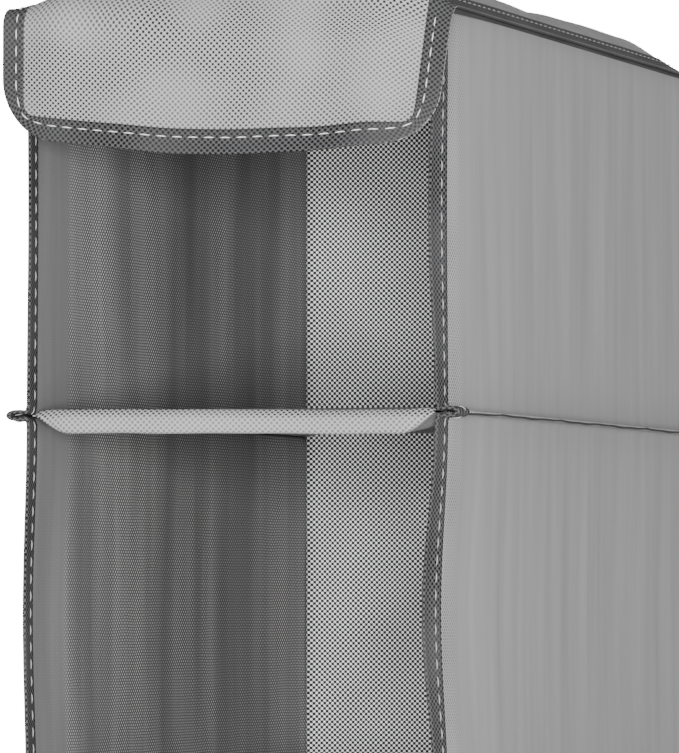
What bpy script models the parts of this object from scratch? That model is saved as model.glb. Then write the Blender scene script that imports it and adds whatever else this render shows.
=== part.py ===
"""A hanging shoe organizer: a tall fabric column of open compartments on two hooks.

World frame: the middle of the closet rod is the origin, +Z is up, +X is to the right of
someone who faces the open side, and the open side faces -Y.
"""

import math

import bmesh
import bpy
from mathutils import Vector

# Driving dimensions, in metres.
TIERS = 10  # compartments, one above the other
PITCH = 0.137  # from one shelf to the next, and from the roof seam to the first shelf
BODY_WIDTH = 0.1524  # over the outer faces of the two side panels
BODY_DEPTH = 0.305  # from the front edge to the back panel
ROD_TO_ROOF = 0.080  # from the middle of the rod down to the roof seam
HEM_DROP = 0.015  # from the lowest shelf down to the hem

FABRIC = 0.0005  # one layer of non-woven cloth
TAPE = 0.0006  # one layer of binding tape
TAPE_WIDTH = 0.008
GAP = 0.0003  # clearance between pieces that are sewn together

TUCK_DEPTH = 0.008  # how far the side panels' pleats stand out at each shelf
SHELF_FLANGE = 0.0006  # thickness of the sleeve's edge inside a pleat
SEAM_FLANGE = 0.0025  # the side panel's edge, turned out under the roof
REAR_FIN = 0.008  # the seam that stands out behind the back panel

SHELF_ABOVE = 0.0020  # the sleeve's top face over the seam of its sides
SHELF_BELOW = 0.0053  # the sleeve's lower face under the same seam
SLEEVE_WALL = 0.00085
SHELF_TAPER_TOP = 0.0055  # how far in from the wall the top face starts to fall
SHELF_TAPER_LOW = 0.0115
BOARD_SHORTER = 0.003  # from the sleeve's open rear end to the board

ROOF_BOARD = 0.003
BOARD_STEP = 0.0005  # the board's size is found to this step
COVER_RIM = 0.009  # the cover's flat rim, under its tape
COVER_RISE = 0.009  # height of the dome over the rim
COVER_SLOPE = 0.017  # width of the slope between rim and dome

FLAP_CURL = 0.011  # radius of the flap where it turns down
FLAP_SLANT = math.radians(12)  # how far the flap leans forward of plumb
FLAP_DROP = 0.049  # from the roof seam down to the flap's lower edge
FLAP_CORNER = 0.020  # radius of its two lower corners

HOOK_SPACING = 0.080
HOOK_WIRE = 0.00225  # radius
HOOK_BOWL = 0.020  # inner radius
HOOK_TIP = math.radians(200)  # where the arc over the rod starts
HOOK_NECK = math.radians(-50)  # where it ends
HOOK_NECK_BEND = 0.014  # radius of the bend into the stem
HOOK_HOLE = 0.003  # radius of the holes in roof and board
EYELET_BORE = 0.0032
EYELET_FLANGE = 0.0065
EYELET_METAL = 0.0005
WASHER_RADIUS = 0.009
WASHER_THICK = 0.0012
NUT_RADIUS = 0.0050
NUT_HEIGHT = 0.0040
STEM_PAST_NUT = 0.0010

FLAT_ANGLE = math.radians(0.05)  # faces that turn by less than this are one flat face

# Places that follow from them.
SEAM_Z = -ROD_TO_ROOF
FRONT_Y = -BODY_DEPTH / 2
BACK_Y = BODY_DEPTH / 2
REAR_Y = BACK_Y + REAR_FIN
WALL_X = BODY_WIDTH / 2 - FABRIC / 2  # middle of a side panel's cloth
LAYER = FABRIC / 2 + GAP  # from the middle of a cloth to the inside of its tape
BOUND = LAYER + TAPE  # from the middle of a cloth to the outside of its tape
EDGE_CLEAR = TAPE + GAP  # from a tape's fold to the edge of the cloth in it
PLEAT = SHELF_FLANGE / 2 + GAP + FABRIC / 2  # half the pleat, to the middle of its cloth
SHELF_Z = [SEAM_Z - PITCH * (tier + 1) for tier in range(TIERS)]
BOTTOM_Z = SHELF_Z[-1] - HEM_DROP
ROOF_Z = SEAM_Z + FABRIC + GAP  # middle of the roof cloth
COVER_Z = ROOF_Z + BOUND + GAP + BOUND  # middle of the cover's rim
COVER_TOP_Z = COVER_Z + COVER_RISE
SEAM_OUT = WALL_X + SEAM_FLANGE + EDGE_CLEAR  # outside of the roof seam tapes
SEAM_IN = SEAM_OUT - TAPE_WIDTH
COVER_X = SEAM_OUT + GAP - EDGE_CLEAR + TAPE / 2  # edge of the cover's cloth
COVER_REAR_Y = REAR_Y + GAP - EDGE_CLEAR
HINGE_Z = COVER_Z + BOUND + GAP / 2

parts = bpy.data.collections.new("shoe_organizer")
cutters = bpy.data.collections.new("cutters")


def clear_scene():
    for thing in list(bpy.data.objects):
        bpy.data.objects.remove(thing, do_unlink=True)
    for collection in (parts, cutters):
        bpy.context.scene.collection.children.link(collection)
    cutters.hide_render = True


def finish(name, colour, roughness, metallic=0.0):
    """A plain finish from an sRGB hex colour."""
    made = bpy.data.materials.new(name)
    made.use_nodes = True
    shader = made.node_tree.nodes["Principled BSDF"]
    srgb = [int(colour[i : i + 2], 16) / 255 for i in (1, 3, 5)]
    linear = [c / 12.92 if c <= 0.04045 else ((c + 0.055) / 1.055) ** 2.4 for c in srgb]
    shader.inputs["Base Color"].default_value = (*linear, 1)
    shader.inputs["Roughness"].default_value = roughness
    shader.inputs["Metallic"].default_value = metallic
    return made


def add(name, data, material, collection=parts):
    """Puts a mesh or curve into the scene as one named piece."""
    piece = bpy.data.objects.new(name, data)
    collection.objects.link(piece)
    if material and not data.materials:
        data.materials.append(material)
    if collection is cutters:
        piece.hide_render = True
        piece.display_type = "WIRE"
    return piece


def outline_curve(name, loops, thickness):
    """A flat 2D curve of closed loops, thickened evenly to both sides."""
    curve = bpy.data.curves.new(name, "CURVE")
    curve.dimensions = "2D"
    curve.fill_mode = "BOTH"
    curve.extrude = thickness / 2
    for loop in loops:
        spline = curve.splines.new("POLY")
        spline.points.add(len(loop) - 1)
        for point, (u, v) in zip(spline.points, loop):
            point.co = (u, v, 0, 1)
        spline.use_cyclic_u = True
    return curve


def upright(name, loop, y_from, y_to, material=None, collection=parts):
    """An outline of (x, z) points, carried along Y from one place to another."""
    piece = add(name, outline_curve(name, [loop], y_to - y_from), material, collection)
    piece.rotation_euler = (math.pi / 2, 0, 0)
    piece.location = (0, (y_from + y_to) / 2, 0)
    return as_mesh(piece)


def flat(name, loop, z_from, z_to, material=None, collection=parts):
    """An outline of (x, y) points, carried up Z from one place to another."""
    piece = add(name, outline_curve(name, [loop], z_to - z_from), material, collection)
    piece.location = (0, 0, (z_from + z_to) / 2)
    return as_mesh(piece)


def as_mesh(piece):
    """Replaces a curve, or a mesh with modifiers, by the plain mesh that it evaluates to."""
    bpy.context.view_layer.update()
    evaluated = piece.evaluated_get(bpy.context.evaluated_depsgraph_get())
    mesh = bpy.data.meshes.new_from_object(evaluated)
    work = bmesh.new()
    work.from_mesh(mesh)
    bmesh.ops.remove_doubles(work, verts=work.verts, dist=1e-6)
    bmesh.ops.dissolve_limit(
        work, angle_limit=FLAT_ANGLE, verts=work.verts, edges=work.edges
    )
    bmesh.ops.recalc_face_normals(work, faces=work.faces)
    work.to_mesh(mesh)
    work.free()
    name = piece.name
    place = piece.matrix_world.copy()
    home = piece.users_collection[0]
    bpy.data.objects.remove(piece, do_unlink=True)
    made = add(name, mesh, None, home)
    made.matrix_world = place
    return made


def box(name, low, high, material=None, collection=parts):
    mesh = bpy.data.meshes.new(name)
    work = bmesh.new()
    bmesh.ops.create_cube(work, size=1)
    size = Vector(high) - Vector(low)
    bmesh.ops.scale(work, vec=size, verts=work.verts)
    work.to_mesh(mesh)
    work.free()
    piece = add(name, mesh, material, collection)
    piece.location = (Vector(low) + Vector(high)) / 2
    return piece


def cylinder(name, radius, z_from, z_to, place, sides=32, material=None, collection=parts):
    mesh = bpy.data.meshes.new(name)
    work = bmesh.new()
    bmesh.ops.create_cone(
        work, cap_ends=True, segments=sides, radius1=radius, radius2=radius, depth=z_to - z_from
    )
    work.to_mesh(mesh)
    work.free()
    piece = add(name, mesh, material, collection)
    piece.location = (place[0], place[1], (z_from + z_to) / 2)
    return piece


def turned(name, profile, place, material):
    """A ring turned about Z, from a closed loop of (radius, z) points, outer side first."""
    mesh = bpy.data.meshes.new(name)
    points = [(radius, 0, z) for radius, z in profile]
    edges = [(i, (i + 1) % len(points)) for i in range(len(points))]
    mesh.from_pydata(points, edges, [])
    piece = add(name, mesh, material)
    piece.location = place
    screw = piece.modifiers.new("turn", "SCREW")
    screw.steps = 32
    screw.render_steps = 32
    screw.use_merge_vertices = True
    screw.merge_threshold = 0.00001
    screw.use_smooth_shade = False
    return piece


def cut(piece, cutter, solver="EXACT"):
    """Takes the cutter's shape out of the piece."""
    tool = piece.modifiers.new(cutter.name, "BOOLEAN")
    tool.operation = "DIFFERENCE"
    tool.solver = solver
    tool.object = cutter


def wall_line(side, out, z_top, z_bottom):
    """The side panel's section, as (x, z) points from top to bottom, moved out from the middle of its cloth.

    It runs straight down and turns out and back round each shelf's edge.
    """
    x = WALL_X + out
    points = [(x, z_top)]
    for shelf in SHELF_Z:
        points += [
            (x, shelf + PLEAT + out),
            (x + TUCK_DEPTH, shelf + PLEAT + out),
            (x + TUCK_DEPTH, shelf - PLEAT - out),
            (x, shelf - PLEAT - out),
        ]
    points.append((x, z_bottom))
    return [(side * x, z) for x, z in points]


def straight_back(side, inward, z_top, z_bottom):
    """The inner side of a tape, from bottom to top."""
    x = side * (WALL_X - inward)
    return [(x, z_bottom), (x, z_top)]


def side_panel(side, word, material):
    """One long sheet with a pleat at each shelf, its top edge turned out under the roof."""
    outer = wall_line(side, FABRIC / 2, SEAM_Z - FABRIC / 2, BOTTOM_Z)
    inner = wall_line(side, -FABRIC / 2, SEAM_Z + FABRIC / 2, BOTTOM_Z)
    tip = side * (WALL_X + SEAM_FLANGE)
    flange = [(tip, SEAM_Z + FABRIC / 2), (tip, SEAM_Z - FABRIC / 2)]
    return upright(
        f"side_panel_{word}",
        outer + inner[::-1] + flange,
        FRONT_Y + EDGE_CLEAR,
        REAR_Y - EDGE_CLEAR,
        material,
    )


def front_binding(side, word, material):
    """Tape folded round the side panel's front edge, pleats and all."""
    top = SEAM_Z - BOUND - GAP
    low = BOTTOM_Z - EDGE_CLEAR
    spare = TAPE_WIDTH
    body = wall_line(side, BOUND, top, low) + straight_back(side, BOUND, top, low)
    piece = upright(
        f"front_binding_{word}", body, FRONT_Y, FRONT_Y + TAPE_WIDTH, material
    )
    slot = wall_line(side, LAYER, top + spare, low - spare)
    slot += wall_line(side, -LAYER, top + spare, low - spare)[::-1]
    cut(
        piece,
        upright(
            f"front_slot_{word}",
            slot,
            FRONT_Y + TAPE,
            FRONT_Y + TAPE_WIDTH + spare,
            collection=cutters,
        ),
    )
    return piece


def rear_binding(side, word, material):
    """Tape folded round the side panel's rear edge and the back panel's edge inside it."""
    top = SEAM_Z - BOUND - GAP
    low = BOTTOM_Z - EDGE_CLEAR
    spare = TAPE_WIDTH
    beside = FABRIC + GAP  # from the side panel's cloth in to the back panel's
    body = wall_line(side, BOUND, top, low)
    body += straight_back(side, beside + BOUND, top, low)
    piece = upright(
        f"rear_binding_{word}", body, BACK_Y + LAYER, REAR_Y, material
    )
    slot = wall_line(side, LAYER, top + spare, low - spare)
    slot += straight_back(side, beside + LAYER, top + spare, low - spare)
    cut(
        piece,
        upright(
            f"rear_slot_{word}", slot, BACK_Y - spare, REAR_Y - TAPE, collection=cutters
        ),
    )
    return piece


def back_panel(material):
    """A flat sheet whose side edges turn back along the side panels."""
    x = WALL_X - FABRIC - GAP
    half = FABRIC / 2
    end = REAR_Y - EDGE_CLEAR
    loop = [
        (-x - half, end),
        (-x - half, BACK_Y - half),
        (x + half, BACK_Y - half),
        (x + half, end),
        (x - half, end),
        (x - half, BACK_Y + half),
        (-x + half, BACK_Y + half),
        (-x + half, end),
    ]
    return flat("back_panel", loop, BOTTOM_Z, ROOF_Z - LAYER, material)


def hook_holes(piece, z_low, z_high, radius):
    for side in (-1, 1):
        cut(
            piece,
            cylinder(
                f"{piece.name}_hole_{'left' if side < 0 else 'right'}",
                radius,
                z_low,
                z_high,
                (side * HOOK_SPACING / 2, 0),
                collection=cutters,
            ),
        )


def roof_panel(material):
    """The roof's cloth, sewn to the turned-out top edges of the side panels."""
    edge = WALL_X + SEAM_FLANGE
    piece = box(
        "roof_panel",
        (-edge, FRONT_Y + EDGE_CLEAR, ROOF_Z - FABRIC / 2),
        (edge, REAR_Y - EDGE_CLEAR, ROOF_Z + FABRIC / 2),
        material,
    )
    hook_holes(piece, ROOF_Z - TAPE_WIDTH, ROOF_Z + TAPE_WIDTH, HOOK_HOLE)
    return piece


def roof_board(material):
    """The stiff board between roof and cover that spreads the load on the hooks."""
    low = ROOF_Z + LAYER
    high = low + ROOF_BOARD
    inset = COVER_RIM  # widened until the dome's underside clears the board's top edge
    while COVER_Z + dome_height(inset) < high + LAYER:
        inset += BOARD_STEP
    piece = box(
        "roof_board",
        (-COVER_X + inset, FRONT_Y + inset, low),
        (COVER_X - inset, COVER_REAR_Y - inset, high),
        material,
    )
    hook_holes(piece, low - TAPE_WIDTH, low + TAPE_WIDTH, HOOK_HOLE)
    return piece


def roof_seam_binding(side, word, material):
    """Tape over the roof's side edge and the side panel's turned-out edge below it."""
    low = SEAM_Z - BOUND
    high = ROOF_Z + BOUND
    under = WALL_X + LAYER
    loop = [
        (SEAM_IN, high),
        (SEAM_OUT, high),
        (SEAM_OUT, low),
        (under, low),
        (under, low + TAPE),
        (SEAM_OUT - TAPE, low + TAPE),
        (SEAM_OUT - TAPE, high - TAPE),
        (SEAM_IN, high - TAPE),
    ]
    loop = [(side * x, z) for x, z in loop]
    return upright(f"roof_seam_binding_{word}", loop, FRONT_Y, REAR_Y, material)


def roof_end_binding(word, fold_y, inward, lower_leg, material):
    """Tape folded round the roof's front or rear edge. inward is +1 where the roof lies at +Y of it."""
    leg = (fold_y, fold_y + inward * TAPE_WIDTH)
    low_leg = (fold_y, fold_y + inward * lower_leg)
    half = SEAM_IN - GAP
    piece = box(
        f"roof_binding_{word}",
        (-half, min(leg), ROOF_Z - BOUND),
        (half, max(leg), ROOF_Z + BOUND),
        material,
    )
    slot = sorted((fold_y + inward * TAPE, fold_y + inward * 2 * TAPE_WIDTH))
    cut(
        piece,
        box(
            f"roof_slot_{word}",
            (-BODY_WIDTH, slot[0], ROOF_Z - LAYER),
            (BODY_WIDTH, slot[1], ROOF_Z + LAYER),
            collection=cutters,
        ),
    )
    if lower_leg < TAPE_WIDTH:
        spare = sorted((low_leg[1], fold_y + inward * 2 * TAPE_WIDTH))
        cut(
            piece,
            box(
                f"roof_trim_{word}",
                (-BODY_WIDTH, spare[0], ROOF_Z - 2 * BOUND),
                (BODY_WIDTH, spare[1], ROOF_Z),
                collection=cutters,
            ),
        )
    return piece


def dome_height(inset):
    """Height of the cover over its rim, a given way in from its edge: flat, a smooth rise, flat."""
    share = min(max((inset - COVER_RIM) / COVER_SLOPE, 0), 1)
    return COVER_RISE * share * share * (3 - 2 * share)


def cover_sheet(material):
    """The domed sheet over the roof board: a loft of ever smaller rectangles."""
    steps = 6
    insets = [0] + [COVER_RIM + COVER_SLOPE * i / steps for i in range(steps + 1)]
    mesh = bpy.data.meshes.new("cover_sheet")
    work = bmesh.new()
    rings = []
    for inset in insets:
        x = COVER_X - inset
        front = FRONT_Y + GAP + inset
        rear = COVER_REAR_Y - inset
        z = COVER_Z + dome_height(inset)
        corners = [(-x, front), (x, front), (x, rear), (-x, rear)]
        rings.append([work.verts.new((cx, cy, z)) for cx, cy in corners])
    for outer, inner in zip(rings, rings[1:]):
        for i in range(4):
            j = (i + 1) % 4
            work.faces.new((outer[i], outer[j], inner[j], inner[i]))
    work.faces.new(rings[-1])
    work.to_mesh(mesh)
    work.free()
    piece = add("cover_sheet", mesh, material)
    thick = piece.modifiers.new("cloth", "SOLIDIFY")
    thick.thickness = FABRIC
    thick.offset = 0
    hook_holes(
        piece,
        COVER_TOP_Z - TAPE_WIDTH,
        COVER_TOP_Z + TAPE_WIDTH,
        EYELET_BORE + EYELET_METAL + GAP,
    )
    return piece


def cover_binding(material):
    """Tape round the cover's two sides and its rear edge."""
    x = COVER_X + EDGE_CLEAR
    rear = COVER_REAR_Y + EDGE_CLEAR
    front = FRONT_Y + GAP
    inner_x = x - TAPE_WIDTH
    inner_rear = rear - TAPE_WIDTH
    loop = [
        (-x, front),
        (-inner_x, front),
        (-inner_x, inner_rear),
        (inner_x, inner_rear),
        (inner_x, front),
        (x, front),
        (x, rear),
        (-x, rear),
    ]
    piece = flat("cover_binding", loop, COVER_Z - BOUND, COVER_Z + BOUND, material)
    cut(
        piece,
        box(
            "cover_slot",
            (-COVER_X - GAP, FRONT_Y - TAPE_WIDTH, COVER_Z - LAYER),
            (COVER_X + GAP, COVER_REAR_Y + GAP, COVER_Z + LAYER),
            collection=cutters,
        ),
    )
    return piece


CURL_TURN = math.pi / 2 - FLAP_SLANT
CURL_LENGTH = FLAP_CURL * CURL_TURN
LEG_TOP_Z = COVER_Z - FLAP_CURL * (1 - math.cos(CURL_TURN))
LEG_LENGTH = (LEG_TOP_Z - (SEAM_Z - FLAP_DROP)) / math.cos(FLAP_SLANT) - EDGE_CLEAR
FLAP_LENGTH = CURL_LENGTH + LEG_LENGTH


def flap_point(x, down, out=0.0):
    """A point of the flap: down its cloth from the hinge, and out from the cloth's middle.

    The cloth leaves the cover level, curls down through an arc and hangs straight.
    """
    turn = min(down, CURL_LENGTH) / FLAP_CURL
    leg = max(down - CURL_LENGTH, 0)
    forward = FLAP_CURL * math.sin(turn) + leg * math.cos(turn)
    fall = FLAP_CURL * (1 - math.cos(turn)) + leg * math.sin(turn)
    forward += out * math.sin(turn)
    return Vector((x, FRONT_Y - forward, COVER_Z - fall + out * math.cos(turn)))


def flap_outline():
    """The flap's edge from the hinge down one side, round the bottom and up the other.

    Each item is (x, down, the way in as (x, down)), on the cloth laid flat.
    """
    half = COVER_X
    corner_down = FLAP_LENGTH - FLAP_CORNER
    curl_steps = 6
    arc_steps = 8
    downs = [GAP] + [CURL_LENGTH * i / curl_steps for i in range(1, curl_steps + 1)]
    side = [(-half, down, (1, 0)) for down in downs]
    for i in range(arc_steps + 1):
        angle = math.pi / 2 * i / arc_steps
        x = -half + FLAP_CORNER * (1 - math.cos(angle))
        down = corner_down + FLAP_CORNER * math.sin(angle)
        side.append((x, down, (math.cos(angle), -math.sin(angle))))
    other = [(-x, down, (-inward[0], inward[1])) for x, down, inward in reversed(side)]
    return side + other


def front_flap(material):
    """The cover's front end, which hangs over the top of the uppermost compartment."""
    edge = flap_outline()
    half = len(edge) // 2
    mesh = bpy.data.meshes.new("front_flap")
    work = bmesh.new()
    across = [
        (work.verts.new(flap_point(*left[:2])), work.verts.new(flap_point(*right[:2])))
        for left, right in zip(edge[:half], reversed(edge[half:]))
    ]
    for upper, lower in zip(across, across[1:]):
        work.faces.new((upper[0], lower[0], lower[1], upper[1]))
    work.to_mesh(mesh)
    work.free()
    piece = add("front_flap", mesh, material)
    thick = piece.modifiers.new("cloth", "SOLIDIFY")
    thick.thickness = FABRIC
    thick.offset = 0
    return piece


def flap_binding(material):
    """Tape folded round the flap's sides and lower edge: one folded section carried along the edge."""
    section = [
        (-EDGE_CLEAR, BOUND),
        (-EDGE_CLEAR, -BOUND),
        (TAPE_WIDTH - EDGE_CLEAR, -BOUND),
        (TAPE_WIDTH - EDGE_CLEAR, -LAYER),
        (-GAP, -LAYER),
        (-GAP, LAYER),
        (TAPE_WIDTH - EDGE_CLEAR, LAYER),
        (TAPE_WIDTH - EDGE_CLEAR, BOUND),
    ]
    mesh = bpy.data.meshes.new("flap_binding")
    work = bmesh.new()
    rings = []
    for x, down, (in_x, in_down) in flap_outline():
        ring = [
            work.verts.new(flap_point(x + inset * in_x, down + inset * in_down, out))
            for inset, out in section
        ]
        rings.append(ring)
    count = len(section)
    for before, after in zip(rings, rings[1:]):
        for i in range(count):
            j = (i + 1) % count
            work.faces.new((before[i], before[j], after[j], after[i]))
    work.faces.new(rings[0])
    work.faces.new(rings[-1])
    bmesh.ops.recalc_face_normals(work, faces=work.faces)
    work.to_mesh(mesh)
    work.free()
    return add("flap_binding", mesh, material)


def shelf_sleeve_mesh(material):
    """One shelf's cloth sleeve, about its own seam line: a flat bag, open at the rear."""
    inner = BODY_WIDTH / 2 - FABRIC - GAP
    tip = WALL_X + TUCK_DEPTH - LAYER
    flange = SHELF_FLANGE / 2
    steps = 3

    def taper(width, height):
        """A quarter of an ellipse, from the flange's root to the flat face."""
        turn = [math.pi / 2 * i / steps for i in range(1, steps + 1)]
        rise = abs(height) - flange
        sign = 1 if height > 0 else -1
        return [
            (inner - width * (1 - math.cos(a)), sign * (flange + rise * math.sin(a)))
            for a in turn
        ]

    upper = [(tip, flange), (inner, flange)] + taper(SHELF_TAPER_TOP, SHELF_ABOVE)
    lower = [(tip, -flange), (inner, -flange)] + taper(SHELF_TAPER_LOW, -SHELF_BELOW)
    right = lower[::-1] + upper
    loop = right + [(-x, z) for x, z in reversed(right)]
    piece = upright("sleeve", loop, FRONT_Y + GAP, BACK_Y - LAYER, material)
    spare = TAPE_WIDTH
    for side in (-1, 1):
        notch = sorted((side * (WALL_X - BOUND - GAP), side * (tip + spare)))
        cut(
            piece,
            box(
                f"sleeve_notch_{'left' if side < 0 else 'right'}",
                (notch[0], FRONT_Y - spare, -spare),
                (notch[1], FRONT_Y + TAPE_WIDTH + GAP, spare),
                collection=cutters,
            ),
            "MANIFOLD",  # EXACT leaves a slit where the flange meets the bag
        )
    low, high = board_box()
    hollow = box(
        "sleeve_hollow",
        (low[0] - GAP, low[1] - GAP, low[2] - GAP),
        (high[0] + GAP, BACK_Y + spare, high[2] + GAP),
        collection=cutters,
    )
    cut(piece, hollow, "MANIFOLD")
    finished = as_mesh(piece)
    mesh = finished.data.copy()
    mesh.transform(finished.matrix_world)
    bpy.data.objects.remove(finished, do_unlink=True)
    mesh.name = "shelf_sleeve"
    return mesh


def board_box():
    """The stiffening board's corners, about its shelf's seam line."""
    half = BODY_WIDTH / 2 - FABRIC - SHELF_TAPER_LOW
    front = FRONT_Y + GAP + SLEEVE_WALL + GAP
    rear = BACK_Y - LAYER - BOARD_SHORTER
    low = -SHELF_BELOW + SLEEVE_WALL + GAP
    high = SHELF_ABOVE - SLEEVE_WALL - GAP
    return (-half, front, low), (half, rear, high)


def shelves(cloth, card):
    """A sleeve and a board at each level. The copies share their meshes."""
    sleeve = shelf_sleeve_mesh(cloth)
    low, high = board_box()
    pattern = box("board", low, high, card)
    board = pattern.data.copy()
    board.transform(pattern.matrix_basis)
    bpy.data.objects.remove(pattern, do_unlink=True)
    for number, z in enumerate(SHELF_Z, start=1):
        add(f"shelf_sleeve_{number}", sleeve, cloth).location.z = z
        add(f"shelf_board_{number}", board, card).location.z = z


def hem_binding_side(side, word, material):
    """Tape folded round the bottom edge of a side panel, between the two upright tapes."""
    x = side * WALL_X
    name = f"hem_binding_{word}"
    y_from = FRONT_Y + TAPE_WIDTH + GAP
    y_to = BACK_Y - BOUND - GAP
    low = BOTTOM_Z - EDGE_CLEAR
    piece = box(
        name,
        (x - BOUND, y_from, low),
        (x + BOUND, y_to, low + TAPE_WIDTH),
        material,
    )
    cut(
        piece,
        box(
            f"hem_slot_{word}",
            (x - LAYER, FRONT_Y, low + TAPE),
            (x + LAYER, REAR_Y, low + 2 * TAPE_WIDTH),
            collection=cutters,
        ),
    )
    return piece


def hem_binding_back(material):
    """Tape folded round the bottom edge of the back panel."""
    half = WALL_X - FABRIC - GAP - BOUND - GAP  # inside the rear tapes
    low = BOTTOM_Z - EDGE_CLEAR
    piece = box(
        "hem_binding_back",
        (-half, BACK_Y - BOUND, low),
        (half, BACK_Y + BOUND, low + TAPE_WIDTH),
        material,
    )
    cut(
        piece,
        box(
            "hem_slot_back",
            (-BODY_WIDTH, BACK_Y - LAYER, low + TAPE),
            (BODY_WIDTH, BACK_Y + LAYER, low + 2 * TAPE_WIDTH),
            collection=cutters,
        ),
    )
    return piece


def hook_path():
    """The hook's centreline in the YZ plane, about the rod: over the rod, back under it and down."""
    radius = HOOK_BOWL + HOOK_WIRE
    steps = 20
    points = []
    for i in range(steps + 1):
        angle = HOOK_TIP + (HOOK_NECK - HOOK_TIP) * i / steps
        points.append((radius * math.cos(angle), radius * math.sin(angle)))
    turn = -HOOK_NECK  # from the arc's end to plumb
    y, z = points[-1]
    slant = (y - HOOK_NECK_BEND * (1 - math.cos(turn))) / math.sin(turn)
    y -= slant * math.sin(turn)
    z -= slant * math.cos(turn)
    bend = 6
    for i in range(bend + 1):
        angle = turn * (1 - i / bend)
        along = HOOK_NECK_BEND * (math.sin(turn) - math.sin(angle))
        points.append((HOOK_NECK_BEND * (1 - math.cos(angle)), z - along))
    stem_end = ROOF_Z - LAYER - WASHER_THICK - GAP - NUT_HEIGHT - STEM_PAST_NUT
    points.append((0, stem_end))
    return points


def hook(side, word, steel):
    """A bent wire hook with its washer and nut under the roof, all on the axis of its stem."""
    swivel = bpy.data.objects.new(f"hook_swivel_{word}", None)
    parts.objects.link(swivel)
    swivel.location = (side * HOOK_SPACING / 2, 0, 0)
    curve = bpy.data.curves.new(f"hook_{word}", "CURVE")
    curve.dimensions = "3D"
    curve.bevel_depth = HOOK_WIRE
    curve.bevel_resolution = 2
    curve.use_fill_caps = True
    path = hook_path()
    spline = curve.splines.new("POLY")
    spline.points.add(len(path) - 1)
    for point, (y, z) in zip(spline.points, path):
        point.co = (0, y, z, 1)
    wire = add(f"hook_{word}", curve, steel)
    under = ROOF_Z - LAYER
    washer = turned(
        f"hook_washer_{word}",
        [
            (WASHER_RADIUS, under),
            (WASHER_RADIUS, under - WASHER_THICK),
            (HOOK_WIRE + GAP, under - WASHER_THICK),
            (HOOK_WIRE + GAP, under),
        ],
        (0, 0, 0),
        steel,
    )
    nut_top = under - WASHER_THICK - GAP
    place = (0, 0)
    nut = cylinder(
        f"hook_nut_{word}", NUT_RADIUS, nut_top - NUT_HEIGHT, nut_top, place, 6, steel
    )
    bore = cylinder(
        f"nut_bore_{word}",
        HOOK_WIRE + GAP,
        nut_top - 2 * NUT_HEIGHT,
        nut_top + NUT_HEIGHT,
        place,
        collection=cutters,
    )
    cut(nut, bore)
    for piece in (wire, washer, nut, bore):
        piece.parent = swivel


def eyelet(side, word, steel):
    """A pressed ring through the cover, round the hook's stem."""
    inside = EYELET_BORE
    outside = EYELET_BORE + EYELET_METAL
    top = LAYER + EYELET_METAL
    profile = [
        (EYELET_FLANGE, top),
        (EYELET_FLANGE, LAYER),
        (outside, LAYER),
        (outside, -LAYER),
        (EYELET_FLANGE, -LAYER),
        (EYELET_FLANGE, -top),
        (inside, -top),
        (inside, top),
    ]
    place = (side * HOOK_SPACING / 2, 0, COVER_TOP_Z)
    return turned(f"eyelet_{word}", profile, place, steel)


def flap_on_hinge(pieces):
    """Hangs the flap's pieces from an empty on the fold they turn about."""
    hinge = bpy.data.objects.new("flap_hinge", None)
    parts.objects.link(hinge)
    hinge.location = (0, FRONT_Y, HINGE_Z)
    bpy.context.view_layer.update()
    for piece in pieces:
        piece.parent = hinge
        piece.matrix_parent_inverse = hinge.matrix_world.inverted()


def main():
    clear_scene()
    cloth = finish("light grey non-woven cloth", "#a3a3a3", 0.92)
    lining = finish("dark grey non-woven cloth", "#6f6f70", 0.92)
    tape = finish("dark grey binding tape", "#56585a", 0.85)
    card = finish("grey board", "#8d8373", 0.95)
    steel = finish("zinc-plated steel", "#c2c4c6", 0.3, 1.0)
    for side, word in ((-1, "left"), (1, "right")):
        side_panel(side, word, cloth)
        front_binding(side, word, tape)
        rear_binding(side, word, tape)
        roof_seam_binding(side, word, tape)
        hem_binding_side(side, word, tape)
        hook(side, word, steel)
        eyelet(side, word, steel)
    back_panel(lining)
    hem_binding_back(tape)
    roof_panel(cloth)
    roof_board(card)
    roof_end_binding("front", FRONT_Y, 1, TAPE_WIDTH, tape)
    roof_end_binding("rear", REAR_Y, -1, REAR_Y - BACK_Y - LAYER, tape)
    cover_sheet(cloth)
    cover_binding(tape)
    flap_on_hinge([front_flap(cloth), flap_binding(tape)])
    shelves(cloth, card)


main()
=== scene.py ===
import math

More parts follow.
